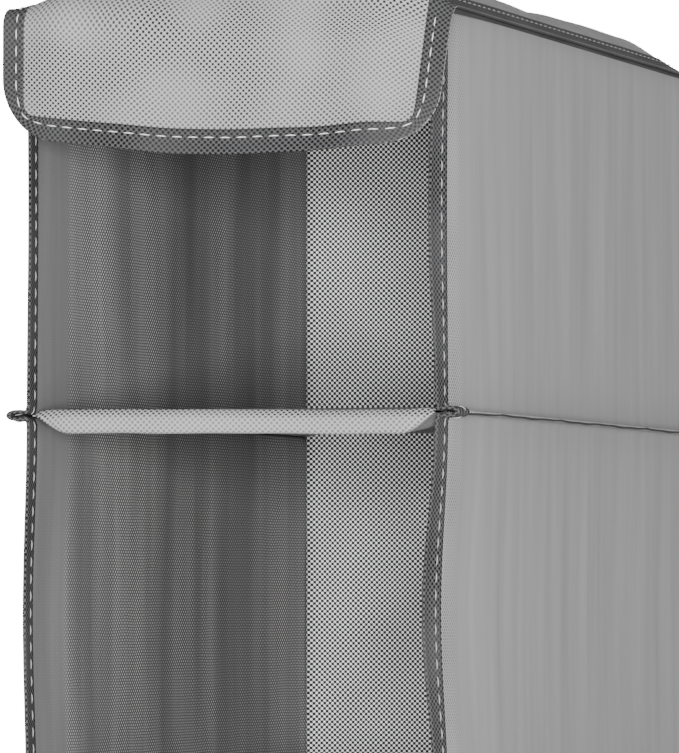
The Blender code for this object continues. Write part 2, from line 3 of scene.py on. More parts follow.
import bpy
import numpy as np
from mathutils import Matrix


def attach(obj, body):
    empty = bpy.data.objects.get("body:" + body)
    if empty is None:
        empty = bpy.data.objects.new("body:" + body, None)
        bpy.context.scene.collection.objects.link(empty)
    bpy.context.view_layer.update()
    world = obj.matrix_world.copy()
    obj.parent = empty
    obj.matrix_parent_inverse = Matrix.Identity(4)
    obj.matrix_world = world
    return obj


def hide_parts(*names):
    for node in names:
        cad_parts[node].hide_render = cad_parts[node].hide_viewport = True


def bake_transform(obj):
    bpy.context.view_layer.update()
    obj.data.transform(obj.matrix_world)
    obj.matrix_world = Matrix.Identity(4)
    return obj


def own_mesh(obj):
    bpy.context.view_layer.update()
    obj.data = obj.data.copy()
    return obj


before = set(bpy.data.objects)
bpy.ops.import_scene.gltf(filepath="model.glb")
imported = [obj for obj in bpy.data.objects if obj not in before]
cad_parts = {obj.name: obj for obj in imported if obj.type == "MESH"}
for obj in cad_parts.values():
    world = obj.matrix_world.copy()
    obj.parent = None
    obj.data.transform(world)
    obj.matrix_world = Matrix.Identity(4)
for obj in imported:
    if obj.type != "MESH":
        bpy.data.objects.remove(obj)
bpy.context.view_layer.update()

# %% [markdown]
# # A hanging shoe organizer
# A column of ten open compartments hangs from a closet rod on two steel hooks. It is made of
# point-bonded non-woven cloth, bound with tape, with a stiff board sewn into each shelf. The
# origin is the middle of the rod, +Z is up, and the open side faces -Y. Sizes are in metres.

# %% Sizes
MM = 0.001
TIERS = 10
PITCH = 137 * MM  # from shelf to shelf
SEAM_Z = -80 * MM  # the roof seam
SHELF_Z = SEAM_Z - PITCH * np.arange(1, TIERS + 1)
BOTTOM_Z = SHELF_Z[-1] - 15 * MM  # the hem
FRONT_Y, BACK_Y, REAR_Y = -152.5 * MM, 152.5 * MM, 160.5 * MM  # front edge, back wall, rear seams
WALL_X = 75.95 * MM  # middle of a side wall's cloth
CLOTH = 0.5 * MM
TAPE_WIDTH = 8 * MM
TAPE = 0.4 * MM  # one layer of tape
BOUND = 0.65 * MM  # from the middle of a bound cloth to the outside of its tape
TUCK = 7.6 * MM  # how far a pleat stands out from the wall
PLEAT = 0.8 * MM  # half of a pleat's thickness
ROOF_Z = -79.2 * MM
HOOK_X = 40 * MM
WORDS = {-1: "left", 1: "right"}
random = np.random.default_rng(11)  # a fixed start, so that each run gives the same folds
print(f"shelves from {SHELF_Z[0]:.3f} to {SHELF_Z[-1]:.3f} m, hem at {BOTTOM_Z:.3f} m")

# %% [markdown]
# The organizer folds flat for storage: the shelves stack under the roof and the walls flatten
# with them.

# %% [markdown]
# ## Tools
# Every surface is a grid of points computed as whole arrays, and the last index is always x, y,
# z. A mesh could be modelled by hand instead, but a formula keeps each seam exactly on its
# neighbour.

# %% Lines and steps
def smooth_step(t):
    """3 t^2 - 2 t^3 for t from 0 to 1, and level outside."""
    t = np.clip(t, 0, 1)
    return t * t * (3 - 2 * t)


def unit(v):
    """Each vector divided by its length."""
    return v / np.maximum(np.linalg.norm(v, axis=-1, keepdims=True), 1e-12)


def arc_length(points, axis=0):
    """Distance along a line of points, from its start: s_k = sum of |p_i+1 - p_i| for i below k."""
    steps = np.linalg.norm(np.diff(points, axis=axis), axis=-1)
    start = np.zeros_like(np.take(steps, [0], axis))
    return np.concatenate([start, np.cumsum(steps, axis)], axis)


def sampled(at, s, line):
    """A line of points read at the distances at along it: each of x, y, z is linear in between."""
    return np.stack([np.interp(at, s, line[:, i]) for i in range(line.shape[1])], axis=-1)


print("a smooth step goes 0,", smooth_step(0.25), 0.5, smooth_step(0.75), 1)


# %% [markdown]
# A face is four corner numbers. Points laid out in rows and columns give them all at once, and one
# test for the whole piece turns the faces outwards.

# %% Faces
def grid_faces(rows, columns, wrap=False):
    """Corners of the quads between a grid's points; wrap joins the last column to the first."""
    index = np.arange(rows * columns).reshape(rows, columns)
    if wrap:
        index = np.concatenate([index, index[:, :1]], axis=1)
    corners = (index[:-1, :-1], index[:-1, 1:], index[1:, 1:], index[1:, :-1])
    return np.stack(corners, axis=-1).reshape(-1, 4)


def repeated(one, step, count):
    """The same faces for count copies of a part, each step points further on."""
    return (one[None] + step * np.arange(count)[:, None, None]).reshape(-1, 4)


def turned_out(points, faces, middle):
    """The faces, turned round if their normals point towards the middle on the whole.

    A quad's normal is the cross product of its diagonals, and the test is the sum of
    normal . (centre - middle).
    """
    corners = points.reshape(-1, 3)[faces]
    normals = np.cross(corners[:, 2] - corners[:, 0], corners[:, 3] - corners[:, 1])
    outward = np.einsum("ij,ij->", normals, corners.mean(axis=1) - middle)
    return faces if outward > 0 else faces[:, ::-1]


print("faces of a 3 by 4 grid:", len(grid_faces(3, 4)))


# %% [markdown]
# Cloth is made as its outer face and grown inwards with Solidify, so that both faces stay a
# cloth's thickness apart on every curve. Its UV map is the cloth laid flat, in metres.

# %% Putting a piece in the scene
def put(name, points, faces, finishes, uv=None, thick=0.0):
    """Makes one object of points and faces.

    thick grows the surface inwards, and the last finish goes on the grown side.
    """
    mesh = bpy.data.meshes.new(name)
    mesh.from_pydata(points.reshape(-1, 3).tolist(), [], faces.tolist())
    for finish in finishes:
        mesh.materials.append(finish)
    mesh.polygons.foreach_set("use_smooth", np.ones(len(mesh.polygons), bool))
    if uv is not None:
        layer = mesh.uv_layers.new(name="flat")
        layer.data.foreach_set("uv", uv.reshape(-1, 2)[faces.ravel()].ravel())
    mesh.update()
    piece = bpy.data.objects.new(name, mesh)
    bpy.context.scene.collection.objects.link(piece)
    if thick:
        solid = piece.modifiers.new("thickness", "SOLIDIFY")
        solid.thickness = thick
        solid.offset = -1
        solid.material_offset = len(finishes) - 1
        solid.material_offset_rim = 0
    print(f"{name}: {len(faces)} faces")
    return piece


# %% [markdown]
# Binding tape is folded in half over a cloth's raw edge and sewn through. The section is a U: a
# leg on each face of the cloth, joined by a half round over the edge. A profile swept along a
# curve would give the same U, but here the legs have to follow the folds of the cloth they lie
# on.

# %% Folded tape
def fold_tape(strip, up, outward, half=BOUND):
    """A tape's outside over a cloth's edge, and its flat UV map.

    strip is (n, m, 3): n places along the edge, m ways in from it. Upper leg p + h N from the
    inside out, fold p0 + h (N cos a + O sin a), lower leg p - h N back in. up is N and outward
    is O, the directions across the cloth and out over its edge.
    """
    turn = np.linspace(0, np.pi, 7)[1:-1, None]
    round_edge = np.cos(turn) * up[:, None] + np.sin(turn) * outward[:, None]
    upper = strip[:, ::-1] + half * up[:, None]
    fold = strip[:, :1] + half * round_edge
    lower = strip - half * up[:, None]
    points = np.concatenate([upper, fold, lower], axis=1)
    along = arc_length(strip[:, 0])[:, None] + np.zeros(points.shape[1])
    across = arc_length(points, axis=1)
    return points, np.stack([along, across], axis=-1)


def tape_piece(name, cad_names, points, uv, middle):
    """Makes a tape of its outside points, round middle, in place of the frame's plain tapes."""
    faces = turned_out(points, grid_faces(*points.shape[:2]), middle)
    piece = put(name, points, faces, [BINDING], uv, thick=TAPE)
    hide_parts(*cad_names)
    return piece


print(f"tape: {TAPE_WIDTH / MM:.0f} mm on each face, {TAPE / MM:.1f} mm thick")

# %% [markdown]
# A lockstitch shows as a row of short dashes on each face. Each dash is a little bent bar of
# thread, because a painted dash would look flat where light grazes the tape.

# %% Thread
DASH, STITCH, THREAD_RADIUS = 3.8 * MM, 5.9 * MM, 0.25 * MM  # dash, dash and gap, radius


def stitch_line(line, out):
    """Thread on a line of points: a dash rises out of the cloth, lies along it and dives in again.

    Its height over the cloth is r (4 q (1 - q) - 0.35), q from 0 to 1 along the dash, and its
    thickness r (0.35 + 0.65 sin(pi q)).
    """
    rings, sides = 5, 6
    s = arc_length(line)
    centres = np.arange(STITCH, s[-1] - STITCH / 2, STITCH)
    q = np.linspace(0, 1, rings)
    at = centres[:, None] + DASH * (q - 0.5)
    core = sampled(at, s, line)
    up = unit(sampled(at, s, out))
    ahead = unit(np.gradient(core, axis=1))
    side = unit(np.cross(ahead, up))
    core = core + up * (THREAD_RADIUS * (4 * q * (1 - q) - 0.35))[:, None]
    girth = THREAD_RADIUS * (0.35 + 0.65 * np.sin(np.pi * q))
    turn = 2 * np.pi * np.arange(sides) / sides
    ring = side[:, :, None] * np.cos(turn)[:, None] + up[:, :, None] * np.sin(turn)[:, None]
    points = core[:, :, None] + girth[:, None, None] * ring
    one = grid_faces(rings, sides, wrap=True)[:, ::-1]
    return points.reshape(-1, 3), repeated(one, rings * sides, len(centres))


def thread_piece(name, lines, finish):
    """One object of several stitch lines, their faces numbered on from one to the next."""
    made = [stitch_line(*line) for line in lines]
    starts = np.cumsum([0] + [len(p) for p, _ in made[:-1]])
    points = np.concatenate([p for p, _ in made])
    faces = np.concatenate([f + start for (_, f), start in zip(made, starts)])
    thread = put(name, points, faces, [finish])
    return thread


print(f"stitches: {1 / STITCH / 10:.0f} in 100 mm")

# %% [markdown]
# ## Finishes
# Non-woven cloth is a mat of fine polypropylene fibres, pressed together by a hot roller with
# small points on it. Each point leaves a dimple, and the dimples lie in staggered rows, 2.1 mm
# apart. Colours are written as sRGB and turned to linear light by one function.

# %% Nodes and colours
def linear(colour):
    """An sRGB hex colour as linear numbers: ((c + 0.055) / 1.055)^2.4, or c / 12.92 near black."""
    srgb = np.array([int(colour[i : i + 2], 16) for i in (1, 3, 5)]) / 255
    return (*np.where(srgb <= 0.04045, srgb / 12.92, ((srgb + 0.055) / 1.055) ** 2.4), 1.0)


def node(tree, kind, sockets=(), **settings):
    """Adds a node. A socket given a node takes its first output, one given an output is linked
    to it, and one given a value is set."""
    made = tree.nodes.new(kind)
    for name, value in settings.items():
        setattr(made, name, value)
    for key, value in dict(sockets).items():
        if isinstance(value, bpy.types.Node):
            value = value.outputs[0]
        if isinstance(value, bpy.types.NodeSocket):
            tree.links.new(value, made.inputs[key])
        else:
            made.inputs[key].default_value = value
    return made


def new_finish(name, roughness, metallic=0.0):
    """A new finish, its node tree and its shader."""
    finish = bpy.data.materials.new(name)
    finish.use_nodes = True
    shader = finish.node_tree.nodes["Principled BSDF"]
    shader.inputs["Roughness"].default_value = roughness
    shader.inputs["Metallic"].default_value = metallic
    return finish, finish.node_tree, shader


print("a grey of #808080 in linear light:", round(float(linear("#808080")[0]), 3))


# %% [markdown]
# The dots are two cosine waves multiplied, which is high on a staggered lattice. An image would
# blur close up, and a formula has the dimples' true spacing. The cloth isn't perfect: the dots
# wander by a fraction of a millimetre, fade in soft patches where it was pulled smooth, and where
# it lies tight near a seam they hardly show. The fibres are much finer than 0.1 mm; they are
# drawn about 0.4 mm wide, as coarse as they need to be to show.

# %% The dots
DOT_PITCH = (2.1 * MM, 2.05 * MM)
WANDER = 0.9 * MM
SWAY, PATCH, LINT, STREAK = 60.0, 28.0, 2200.0, 130.0  # waves in a metre


def dots(tree, flat, low, high):
    """The place on the cloth, which wanders a little, and the dots there, from 0 to 1.

    They are where cos(2 pi u / a) cos(2 pi v / b) rises from low to high: rows a / 2 apart,
    staggered.
    """
    wander = node(tree, "ShaderNodeTexNoise", {"Vector": flat, "Scale": SWAY, "Detail": 2.0})
    moved = node(
        tree, "ShaderNodeVectorMath",
        {0: wander.outputs["Color"], 1: (WANDER, WANDER, 0), 2: flat}, operation="MULTIPLY_ADD",
    )
    place = node(tree, "ShaderNodeSeparateXYZ", {0: moved})
    waves = {}
    for i, pitch in enumerate(DOT_PITCH):
        turns = node(
            tree, "ShaderNodeMath", {0: place.outputs[i], 1: 2 * math.pi / pitch},
            operation="MULTIPLY",
        )
        waves[i] = node(tree, "ShaderNodeMath", {0: turns}, operation="COSINE")
    field = node(tree, "ShaderNodeMath", waves, operation="MULTIPLY")
    mask = node(
        tree, "ShaderNodeMapRange", {0: field, 1: low, 2: high, 3: 0.0, 4: 1.0},
        interpolation_type="SMOOTHSTEP",
    )
    return place, mask


def noise_between(tree, flat, stretch, scale, detail, noise_range, tones):
    """Noise drawn out along v by 1 / stretch, with noise_range spread over the two tones."""
    way = node(tree, "ShaderNodeVectorMath", {0: flat, 1: (1, stretch, 0)}, operation="MULTIPLY")
    noise = node(tree, "ShaderNodeTexNoise", {"Vector": way, "Scale": scale, "Detail": detail})
    return node(tree, "ShaderNodeMapRange", dict(enumerate([noise, *noise_range, *tones])))


print(f"dots {DOT_PITCH[0] / MM} mm apart across and {DOT_PITCH[1] / MM} mm along")


# %% [markdown]
# Colour and relief come from the same dots, so that each dark dimple is also a hollow. The tone
# mixes the ground with the dots, and the fibres and streaks then lighten and darken both.

# %% Dotted cloth
def dotted_cloth(
    name, ground, dot, low, high, fade, depth=0.10 * MM, streaks=0.0, upright=1.0, calm=None
):
    """Point-bonded cloth: tone = (ground + (dot - ground) m k) f, height = n / 4 - m k.

    m is the dots, k their strength, f the fibres' tone and n the fibres' noise. fade is how much
    the dots weaken in soft patches, which are drawn out along v by 1 / upright. streaks is how
    much the tone varies in thin upright lines. depth is the dimples' depth. calm is (u or v as 0
    or 1, from, to, the dots' strength before it, the strength after it, the tone without dots).
    """
    finish, tree, shader = new_finish(name, 0.85)  # loose fibres scatter light
    shader.inputs["Specular IOR Level"].default_value = 0.12  # and hardly reflect
    flat = node(tree, "ShaderNodeUVMap", uv_map="flat")
    place, mask = dots(tree, flat, low, high)
    strength = noise_between(tree, flat, upright, PATCH, 1.0, (0.35, 0.6), (1 - fade, 1.0))
    share = node(tree, "ShaderNodeMath", {0: mask, 1: strength}, operation="MULTIPLY")
    tone = node(
        tree, "ShaderNodeMix", {0: share, 6: linear(ground), 7: linear(dot)}, data_type="RGBA"
    ).outputs[2]
    if calm:
        axis, start, stop, before, after, plain = calm
        kept = node(
            tree, "ShaderNodeMapRange",
            {0: place.outputs[axis], 1: start, 2: stop, 3: before, 4: after},
            interpolation_type="SMOOTHSTEP",
        )
        tone = node(
            tree, "ShaderNodeMix", {0: kept, 6: linear(plain), 7: tone}, data_type="RGBA"
        ).outputs[2]
        strength = node(tree, "ShaderNodeMath", {0: strength, 1: kept}, operation="MULTIPLY")
    fibre = node(tree, "ShaderNodeTexNoise", {"Vector": flat, "Scale": LINT, "Detail": 3.0})
    lint = node(tree, "ShaderNodeMapRange", {0: fibre, 1: 0.3, 2: 0.7, 3: 0.92, 4: 1.06})
    if streaks:
        tones = (1 - streaks, 1 + streaks)
        streak = noise_between(tree, flat, 0.06, STREAK, 4.0, (0.3, 0.7), tones)
        lint = node(tree, "ShaderNodeMath", {0: lint, 1: streak}, operation="MULTIPLY")
    tone = node(tree, "ShaderNodeVectorMath", {0: tone, 3: lint}, operation="SCALE")
    tree.links.new(tone.outputs[0], shader.inputs["Base Color"])
    pressed = node(tree, "ShaderNodeMath", {0: mask, 1: strength}, operation="MULTIPLY")
    fluff = node(tree, "ShaderNodeMath", {0: fibre, 1: 0.25}, operation="MULTIPLY")
    height = node(tree, "ShaderNodeMath", {0: fluff, 1: pressed}, operation="SUBTRACT")
    bump = node(tree, "ShaderNodeBump", {"Strength": 0.6, "Distance": depth, "Height": height})
    tree.links.new(bump.outputs[0], shader.inputs["Normal"])
    return finish


# %% [markdown]
# The same cloth is seen in several ways. Its outside hangs in plain light, so the dots only show
# near the front edge and the cloth looks smooth with faint upright streaks. The lining is the
# same grey cloth painted darker, as painted shade inside the compartments, and its dots are
# paler than its ground.

# %% Cloth finishes
# Light grey, calendered smooth: a matt, even grey with fine streaks along the web.
OUTER = dotted_cloth(
    "light_nonwoven_outside", "#A6A6A6", "#3A3A3A", low=-0.1, high=0.65, fade=0.35,
    depth=0.03 * MM, streaks=0.08,
    calm=(0, FRONT_Y + 9 * MM, FRONT_Y + 30 * MM, 0.9, 0.04, "#8B8B8B"),
)
# The cover's sheet, embossed deeper: dark dimples in a pale ground, softer in some patches.
SHEET = dotted_cloth(
    "light_nonwoven_dotted", "#A4A4A4", "#1E1E1E", low=-0.35, high=0.75, fade=0.35
)
# The shelves' sleeve, drawn tight over the board: sharp dark dimples, weaker round the lip.
SLEEVE = dotted_cloth(
    "light_nonwoven_shelf", "#A8A8A8", "#0E0E0E", low=-0.35, high=0.65, fade=0.2,
    calm=(1, 304.6 * MM, 306.2 * MM, 1.0, 0.6, "#9C9C9C"),
)
# The inner face, painted darker as painted shade: small pale points, thinner in upright bands,
# and a plain, lighter strip beside the front tape as a painted sheen.
LINING_PAINTED_SHADE = dotted_cloth(
    "nonwoven_lining_painted_shade_and_sheen", "#575757", "#C8C8C8", low=0.0, high=0.75, fade=0.65,
    depth=0.05 * MM, streaks=0.1, upright=0.12,
    calm=(0, FRONT_Y + 36 * MM, FRONT_Y + 42 * MM, 0.06, 1.0, "#727272"),
)
# The back wall's inner face: a dark ground painted as shade, and a bold net of white points
# painted as the light behind shining through the thin dimples.
BACK_PAINTED_LIGHT = dotted_cloth(
    "nonwoven_back_painted_shade_and_light", "#282828", "#FFFFFF", low=-0.2, high=0.45, fade=0.15
)
# Binding tape is slit from the same cloth, dyed: a dull, dark grey with nearly black dimples.
BINDING = dotted_cloth(
    "binding_tape_grey", "#515152", "#070708", low=-0.4, high=0.6, fade=0.4
)
print("cloths:", [m.name for m in (OUTER, SHEET, SLEEVE, LINING_PAINTED_SHADE, BACK_PAINTED_LIGHT, BINDING)])

# %% [markdown]
# The harder things need only a colour, a gloss and a grain in object space. The grain keeps a
# plain surface from looking like plastic.

# %% Grained finishes
def grained(name, colour, roughness, scale, contrast, metallic=0.0, bump=0.0):
    """A finish with fine grain of one colour, scale waves in a metre, with its relief bump high."""
    finish, tree, shader = new_finish(name, roughness, metallic)
    place = node(tree, "ShaderNodeTexCoord").outputs["Object"]
    grain = node(tree, "ShaderNodeTexNoise", {"Vector": place, "Scale": scale, "Detail": 4.0})
    tone = node(
        tree, "ShaderNodeMapRange", {0: grain, 1: 0.3, 2: 0.7, 3: 1 - contrast, 4: 1 + contrast}
    )
    base = node(
        tree, "ShaderNodeVectorMath", {0: linear(colour)[:3], 3: tone}, operation="SCALE"
    )
    tree.links.new(base.outputs[0], shader.inputs["Base Color"])
    if bump:
        relief = node(
            tree, "ShaderNodeBump", {"Strength": 0.4, "Distance": bump, "Height": grain}
        )
        tree.links.new(relief.outputs[0], shader.inputs["Normal"])
    return finish


# Spun polyester, twisted and lightly waxed: a soft sheen broken up by the twist.
THREAD = grained("polyester_thread_white", "#DEDEDC", 0.6, 1500.0, 0.15)
# The same white thread painted grey as painted shade, for the stitches away from the lit flap.
SHADED_THREAD = grained("polyester_thread_painted_shade", "#9A9A98", 0.6, 1500.0, 0.15)
# Near black and matt, for the thin dark line along each pleat's outer edge.
DARK_PLEAT_LINE = grained("dark_pleat_edge_line", "#1E1E1F", 0.8, 900.0, 0.2)
# Board pressed from waste paper: dull, warm grey, with a slight tooth.
CARD = grained("grey_board", "#9C9488", 0.9, 700.0, 0.12, bump=0.08 * MM)
# Drawn steel wire with bright zinc plating: clear, slightly soft reflections.
STEEL = grained("zinc_plated_steel", "#B9BCBF", 0.28, 300.0, 0.05, metallic=1.0)
print("others:", [m.name for m in (THREAD, SHADED_THREAD, DARK_PLEAT_LINE, CARD, STEEL)])


# %% [markdown]
# ## The side walls
# Each wall is one long sheet. At every shelf it is tucked into a pleat that stands out of the
# side, and the shelf's edge is sewn into it. A cloth simulation could hang the sheet, but a
# stretched wall with sewn pleats has a known shape, so its section is drawn as a line and carried
# rearwards.

# %% The wall's section
EASE, EASE_LENGTH = 1 * MM, 2 * MM


def finger(gape):
    """One pleat's section as (out, up): a loop half as high as h sqrt(1 - q^8) on each side.

    h is p + g (0.4 + 0.6 sin(pi q)), q from 0 at the wall to 1 at the tip, p the pleat's half
    thickness and g how far it gapes.
    """
    q = 1 - np.linspace(1, 0, 11) ** 2
    half = (PLEAT + gape * (0.4 + 0.6 * np.sin(np.pi * q))) * np.sqrt(1 - q**8)
    out = np.concatenate([q, q[-2::-1]]) * TUCK
    up = np.concatenate([half, -half[-2::-1]])
    return out, up


def wall_section(gape):
    """The section from the roof seam to the hem: (out, z, share of the way between shelves, tier).

    Near a pleat the cloth eases out by 1 mm (1 - d / 2 mm)^2, d the distance from the pleat.
    """
    out, z, share, tier = [], [], [], []
    finger_out, finger_up = finger(gape)
    for k, top in enumerate(np.concatenate([[SEAM_Z], SHELF_Z])):
        low = SHELF_Z[k] if k < TIERS else BOTTOM_Z
        t = (1 - np.cos(np.pi * np.linspace(0, 1, 25))) / 2
        root = PLEAT + 0.4 * gape
        high_end = top - (root if k else 0)
        low_end = low + (root if k < TIERS else 0)
        zs = high_end + (low_end - high_end) * t
        ease = np.zeros_like(zs)
        if k:
            ease = np.maximum(ease, np.clip(1 - (high_end - zs) / EASE_LENGTH, 0, 1) ** 2)
        if k < TIERS:
            ease = np.maximum(ease, np.clip(1 - (zs - low_end) / EASE_LENGTH, 0, 1) ** 2)
        out.append(ease * EASE)
        z.append(zs)
        share.append(t if k < TIERS else np.zeros_like(t))
        tier.append(np.full(len(t), k))
        if k < TIERS:
            inside = finger_out > EASE
            out.append(finger_out[inside])
            z.append(low + finger_up[inside])
            share.append(np.zeros(inside.sum()))
            tier.append(np.full(inside.sum(), k))
    return [np.concatenate(part) for part in (out, z, share, tier)]


print("points down the wall's section:", len(wall_section(0.0)[0]))

# %% [markdown]
# Between the shelves the cloth hangs in soft upright folds and draws in a little, most at the
# front edge, which nothing holds straight. There the tape turns inwards, and it holds the pleats
# open.

# %% The wall's surface
NIP = {-1: 0.9 * MM, 1: -3.5 * MM}  # how far a wall's front edge stands out all the way down
TURN_IN = {-1: 0.4 * MM, 1: 3.3 * MM}  # how far the front tape turns inwards
GAPE = 0.55 * MM  # how far a pleat gapes at the front


def nip(side, y):
    """The wall's front edge off its plane: n exp(-((y - front) / 45 mm)^2)."""
    return NIP[side] * np.exp(-(((y - FRONT_Y) / (45 * MM)) ** 2))


def wall_points(side, y, way, off=0.0):
    """Points of a side wall at the given depths y, (places, depths, 3).

    x = W + out + n(y) + B S F(y) + S^0.6 C(y) sum of a cos(2 pi y / l + f + g t)
    - T (0.35 + 0.65 S) E(y), with S = sin^2(pi t) and t the share of the way between two shelves.
    The draw B and the folds' a, f and g are chosen for each tier. F falls from 1 at the front
    edge to 1/4 in 120 mm, C keeps the folds off the seams, and E brings the tape's turn T back
    to 0 in 9 mm.
    """
    draw, size, phase, lean, length = way
    gapes = GAPE * (1 - smooth_step((y - FRONT_Y - 6 * MM) / (16 * MM)))
    sections = [wall_section(gape) for gape in gapes]
    out = np.stack([s[0] for s in sections], axis=1)
    z = np.stack([s[1] for s in sections], axis=1)
    share, tier = sections[0][2][:, None], sections[0][3]
    swell = np.sin(np.pi * share) ** 2
    waves = size[tier][:, None] * np.cos(
        2 * np.pi * y[None, :, None] / length
        + phase[tier][:, None]
        + lean[tier][:, None] * share[:, :, None]
    )
    calm = smooth_step((y - FRONT_Y) / (25 * MM)) * smooth_step((BACK_Y - y) / (15 * MM))
    front = 1 - 0.75 * smooth_step((y - FRONT_Y) / (120 * MM))
    turned = TURN_IN[side] * (0.35 + 0.65 * swell) * (1 - smooth_step((y - FRONT_Y) / (9 * MM)))
    x = WALL_X + out + draw[tier][:, None] * swell * front + swell**0.6 * calm * waves.sum(axis=-1)
    x = x + nip(side, y) - turned + off
    return np.stack([side * x, np.broadcast_to(y, x.shape), z], axis=-1)


print(f"front edges stand out by {NIP[-1] / MM:.1f} mm and {NIP[1] / MM:.1f} mm")


# %% [markdown]
# The folds are chosen at random from a fixed start, so that no two tiers look alike and each run
# gives the same ones. The first two tiers' draws are given.

# %% Each tier's folds
def wall_way(draws):
    """Chosen draw, fold sizes, phases, leans and lengths for each tier of one wall."""
    length = np.array([62, 41, 27, 19]) * MM
    size = random.uniform(0.4, 1.0, (TIERS + 1, 4)) * np.array([0.4, 0.3, 0.22, 0.12]) * MM
    phase = random.uniform(0, 2 * np.pi, (TIERS + 1, 4))
    lean = random.uniform(-1.2, 1.2, (TIERS + 1, 4))
    return draws, size, phase, lean, length


def drawn(first, second, rest):
    """How far each tier's front edge draws in, from millimetres inwards to metres outwards."""
    draws = np.full(TIERS + 1, rest) * random.uniform(0.6, 1.2, TIERS + 1)
    draws[:2] = first, second
    return -draws * MM


WAYS = {-1: wall_way(drawn(0.2, -1.6, 0.5)), 1: wall_way(drawn(0.3, 2.6, 1.6))}
print("right wall draws in by, mm:", np.round(-WAYS[1][0] / MM, 1))

# %% Making the walls
front_band = np.linspace(0, 22 * MM, 12)[:-1]  # closer steps where the tape holds the edge
depths = np.concatenate([
    FRONT_Y + 0.6 * MM + front_band, np.linspace(FRONT_Y + 22.6 * MM, REAR_Y - 0.9 * MM, 44)
])
for side, word in WORDS.items():
    outside = wall_points(side, depths, WAYS[side], off=CLOTH / 2)
    faces = grid_faces(*outside.shape[:2])
    faces = turned_out(outside, faces, np.array([0, 0, outside[..., 2].mean()]))
    down = arc_length(outside, axis=0)
    uv = np.stack([outside[..., 1], down], axis=-1)
    wall = put(f"side_wall_{word}", outside, faces, [OUTER, LINING_PAINTED_SHADE], uv, thick=CLOTH)
    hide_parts(f"side_panel_{word}")
    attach(wall, "carcass")
    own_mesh(wall)

# %% [markdown]
# The tape on the front edge follows the wall out round each pleat, so a small loop of tape sticks
# out beside every shelf. The rear tape takes in the edge of the back wall too. Thread runs along
# the tape near its inner edge, on both faces.

# %% Front and rear tapes
SEAM_COLUMNS = (3, -4)  # the tape's points under the thread, on its two faces
THICK_BOUND = 1.1 * MM  # the same as BOUND where two cloths are bound together


def edge_normals(line, side):
    """Directions out of the body, across the cloth along its edge: the tangent x (0, 1, 0)."""
    tangent = unit(np.gradient(line, axis=0))
    across = np.cross(tangent, np.array([0, 1.0, 0]))
    return unit(across) * side


def corner_tape(side, word, place, edge_y, inward, half, shift):
    """One tape down a wall's front or rear edge, with its thread."""
    reach = edge_y + inward * np.linspace(0, TAPE_WIDTH - BOUND, 9)
    strip = wall_points(side, reach, WAYS[side], off=shift)
    if place == "rear":
        strip = strip[3:]  # it starts under the roof's rear tape
    up = edge_normals(strip[:, 0], side)
    outward = np.zeros_like(up)
    outward[:, 1] = -inward
    points, uv = fold_tape(strip, up, outward, half)
    tape = tape_piece(
        f"{place}_tape_{word}", [f"{place}_binding_{word}"], points, uv, strip.mean(axis=(0, 1))
    )
    upper, lower = (points[:, column] for column in SEAM_COLUMNS)
    lines = [(upper, up), (lower, -up)]
    thread = thread_piece(f"{place}_stitches_{word}", lines, SHADED_THREAD)
    for piece in (tape, thread):
        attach(piece, "carcass")
        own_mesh(piece)


for side, word in WORDS.items():
    corner_tape(side, word, "front", FRONT_Y + BOUND, 1, BOUND, 0.0)
    corner_tape(side, word, "rear", REAR_Y - BOUND, -1, THICK_BOUND, -0.4 * MM)

# %% [markdown]
# A thin dark round bar runs along each pleat's outer edge and draws a dark line there. It sways
# a little.

# %% Pleat edge lines
STEPS, SIDES = 70, 6
for side, word in WORDS.items():
    y = np.linspace(FRONT_Y + 8.5 * MM, REAR_Y - 9 * MM, STEPS)
    sway = 0.15 * MM * np.sin(2 * np.pi * y / (61 * MM))
    sway = sway + 0.1 * MM * np.sin(2 * np.pi * y / (23 * MM))
    core = np.stack(np.broadcast_arrays(
        side * (WALL_X + TUCK - 0.15 * MM + nip(side, y)), y, SHELF_Z[:, None] - 0.35 * MM + sway
    ), axis=-1)
    turn = 2 * np.pi * np.arange(SIDES) / SIDES
    ring = 0.5 * MM * np.stack([np.cos(turn), np.zeros(SIDES), np.sin(turn)], axis=-1)
    points = core[:, :, None] + ring
    one = grid_faces(STEPS, SIDES, wrap=True)
    one = turned_out(points[0], one, points[0].mean(axis=(0, 1)))
    seam = put(f"pleat_edge_lines_{word}", points, repeated(one, STEPS * SIDES, TIERS), [DARK_PLEAT_LINE])
    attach(seam, "carcass")
    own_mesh(seam)

# %% [markdown]
# ## The back wall
# A flat sheet of the same cloth, its inner face painted dark as painted shade. Its side edges
# turn back along the side walls into the rear seams, and between the shelves it swells a little,
# a different way in each tier.

# %% Making the back wall
BULGE, RIPPLE = 1.6 * MM, 0.45 * MM
FIN, FLAT = 4, 47  # points across each turned-back edge, and across the flat between them
inner_x = WALL_X - CLOTH - 0.3 * MM
across = np.concatenate([
    np.full(FIN, -inner_x), np.linspace(-inner_x, inner_x, FLAT + 2)[1:-1], np.full(FIN, inner_x)
])
fin = np.linspace(REAR_Y - 0.9 * MM, BACK_Y, FIN)
depth = np.concatenate([fin, np.full(FLAT, BACK_Y), fin[::-1]])
heights = np.concatenate([
    [ROOF_Z - 0.55 * MM],
    np.linspace(SEAM_Z, SHELF_Z[-1], TIERS * 22 + 1),
    np.linspace(SHELF_Z[-1], BOTTOM_Z, 5)[1:],
])
share = (SEAM_Z - heights) / PITCH
tier = np.clip(share.astype(int), 0, TIERS - 1)
swell = np.where((share > 0) & (share < TIERS), np.sin(np.pi * share) ** 2, 0)[:, None]
level = 1 - (across / inner_x)[None] ** 4
bend = random.uniform(-1, 1, (TIERS, 3))[tier]
waves = sum(
    bend[:, [i]] * np.cos(2 * np.pi * across[None] / length + 3 * bend[:, [i - 1]])
    for i, length in enumerate((73 * MM, 44 * MM, 29 * MM))
)
bulge = swell * level * (BULGE + RIPPLE * waves)
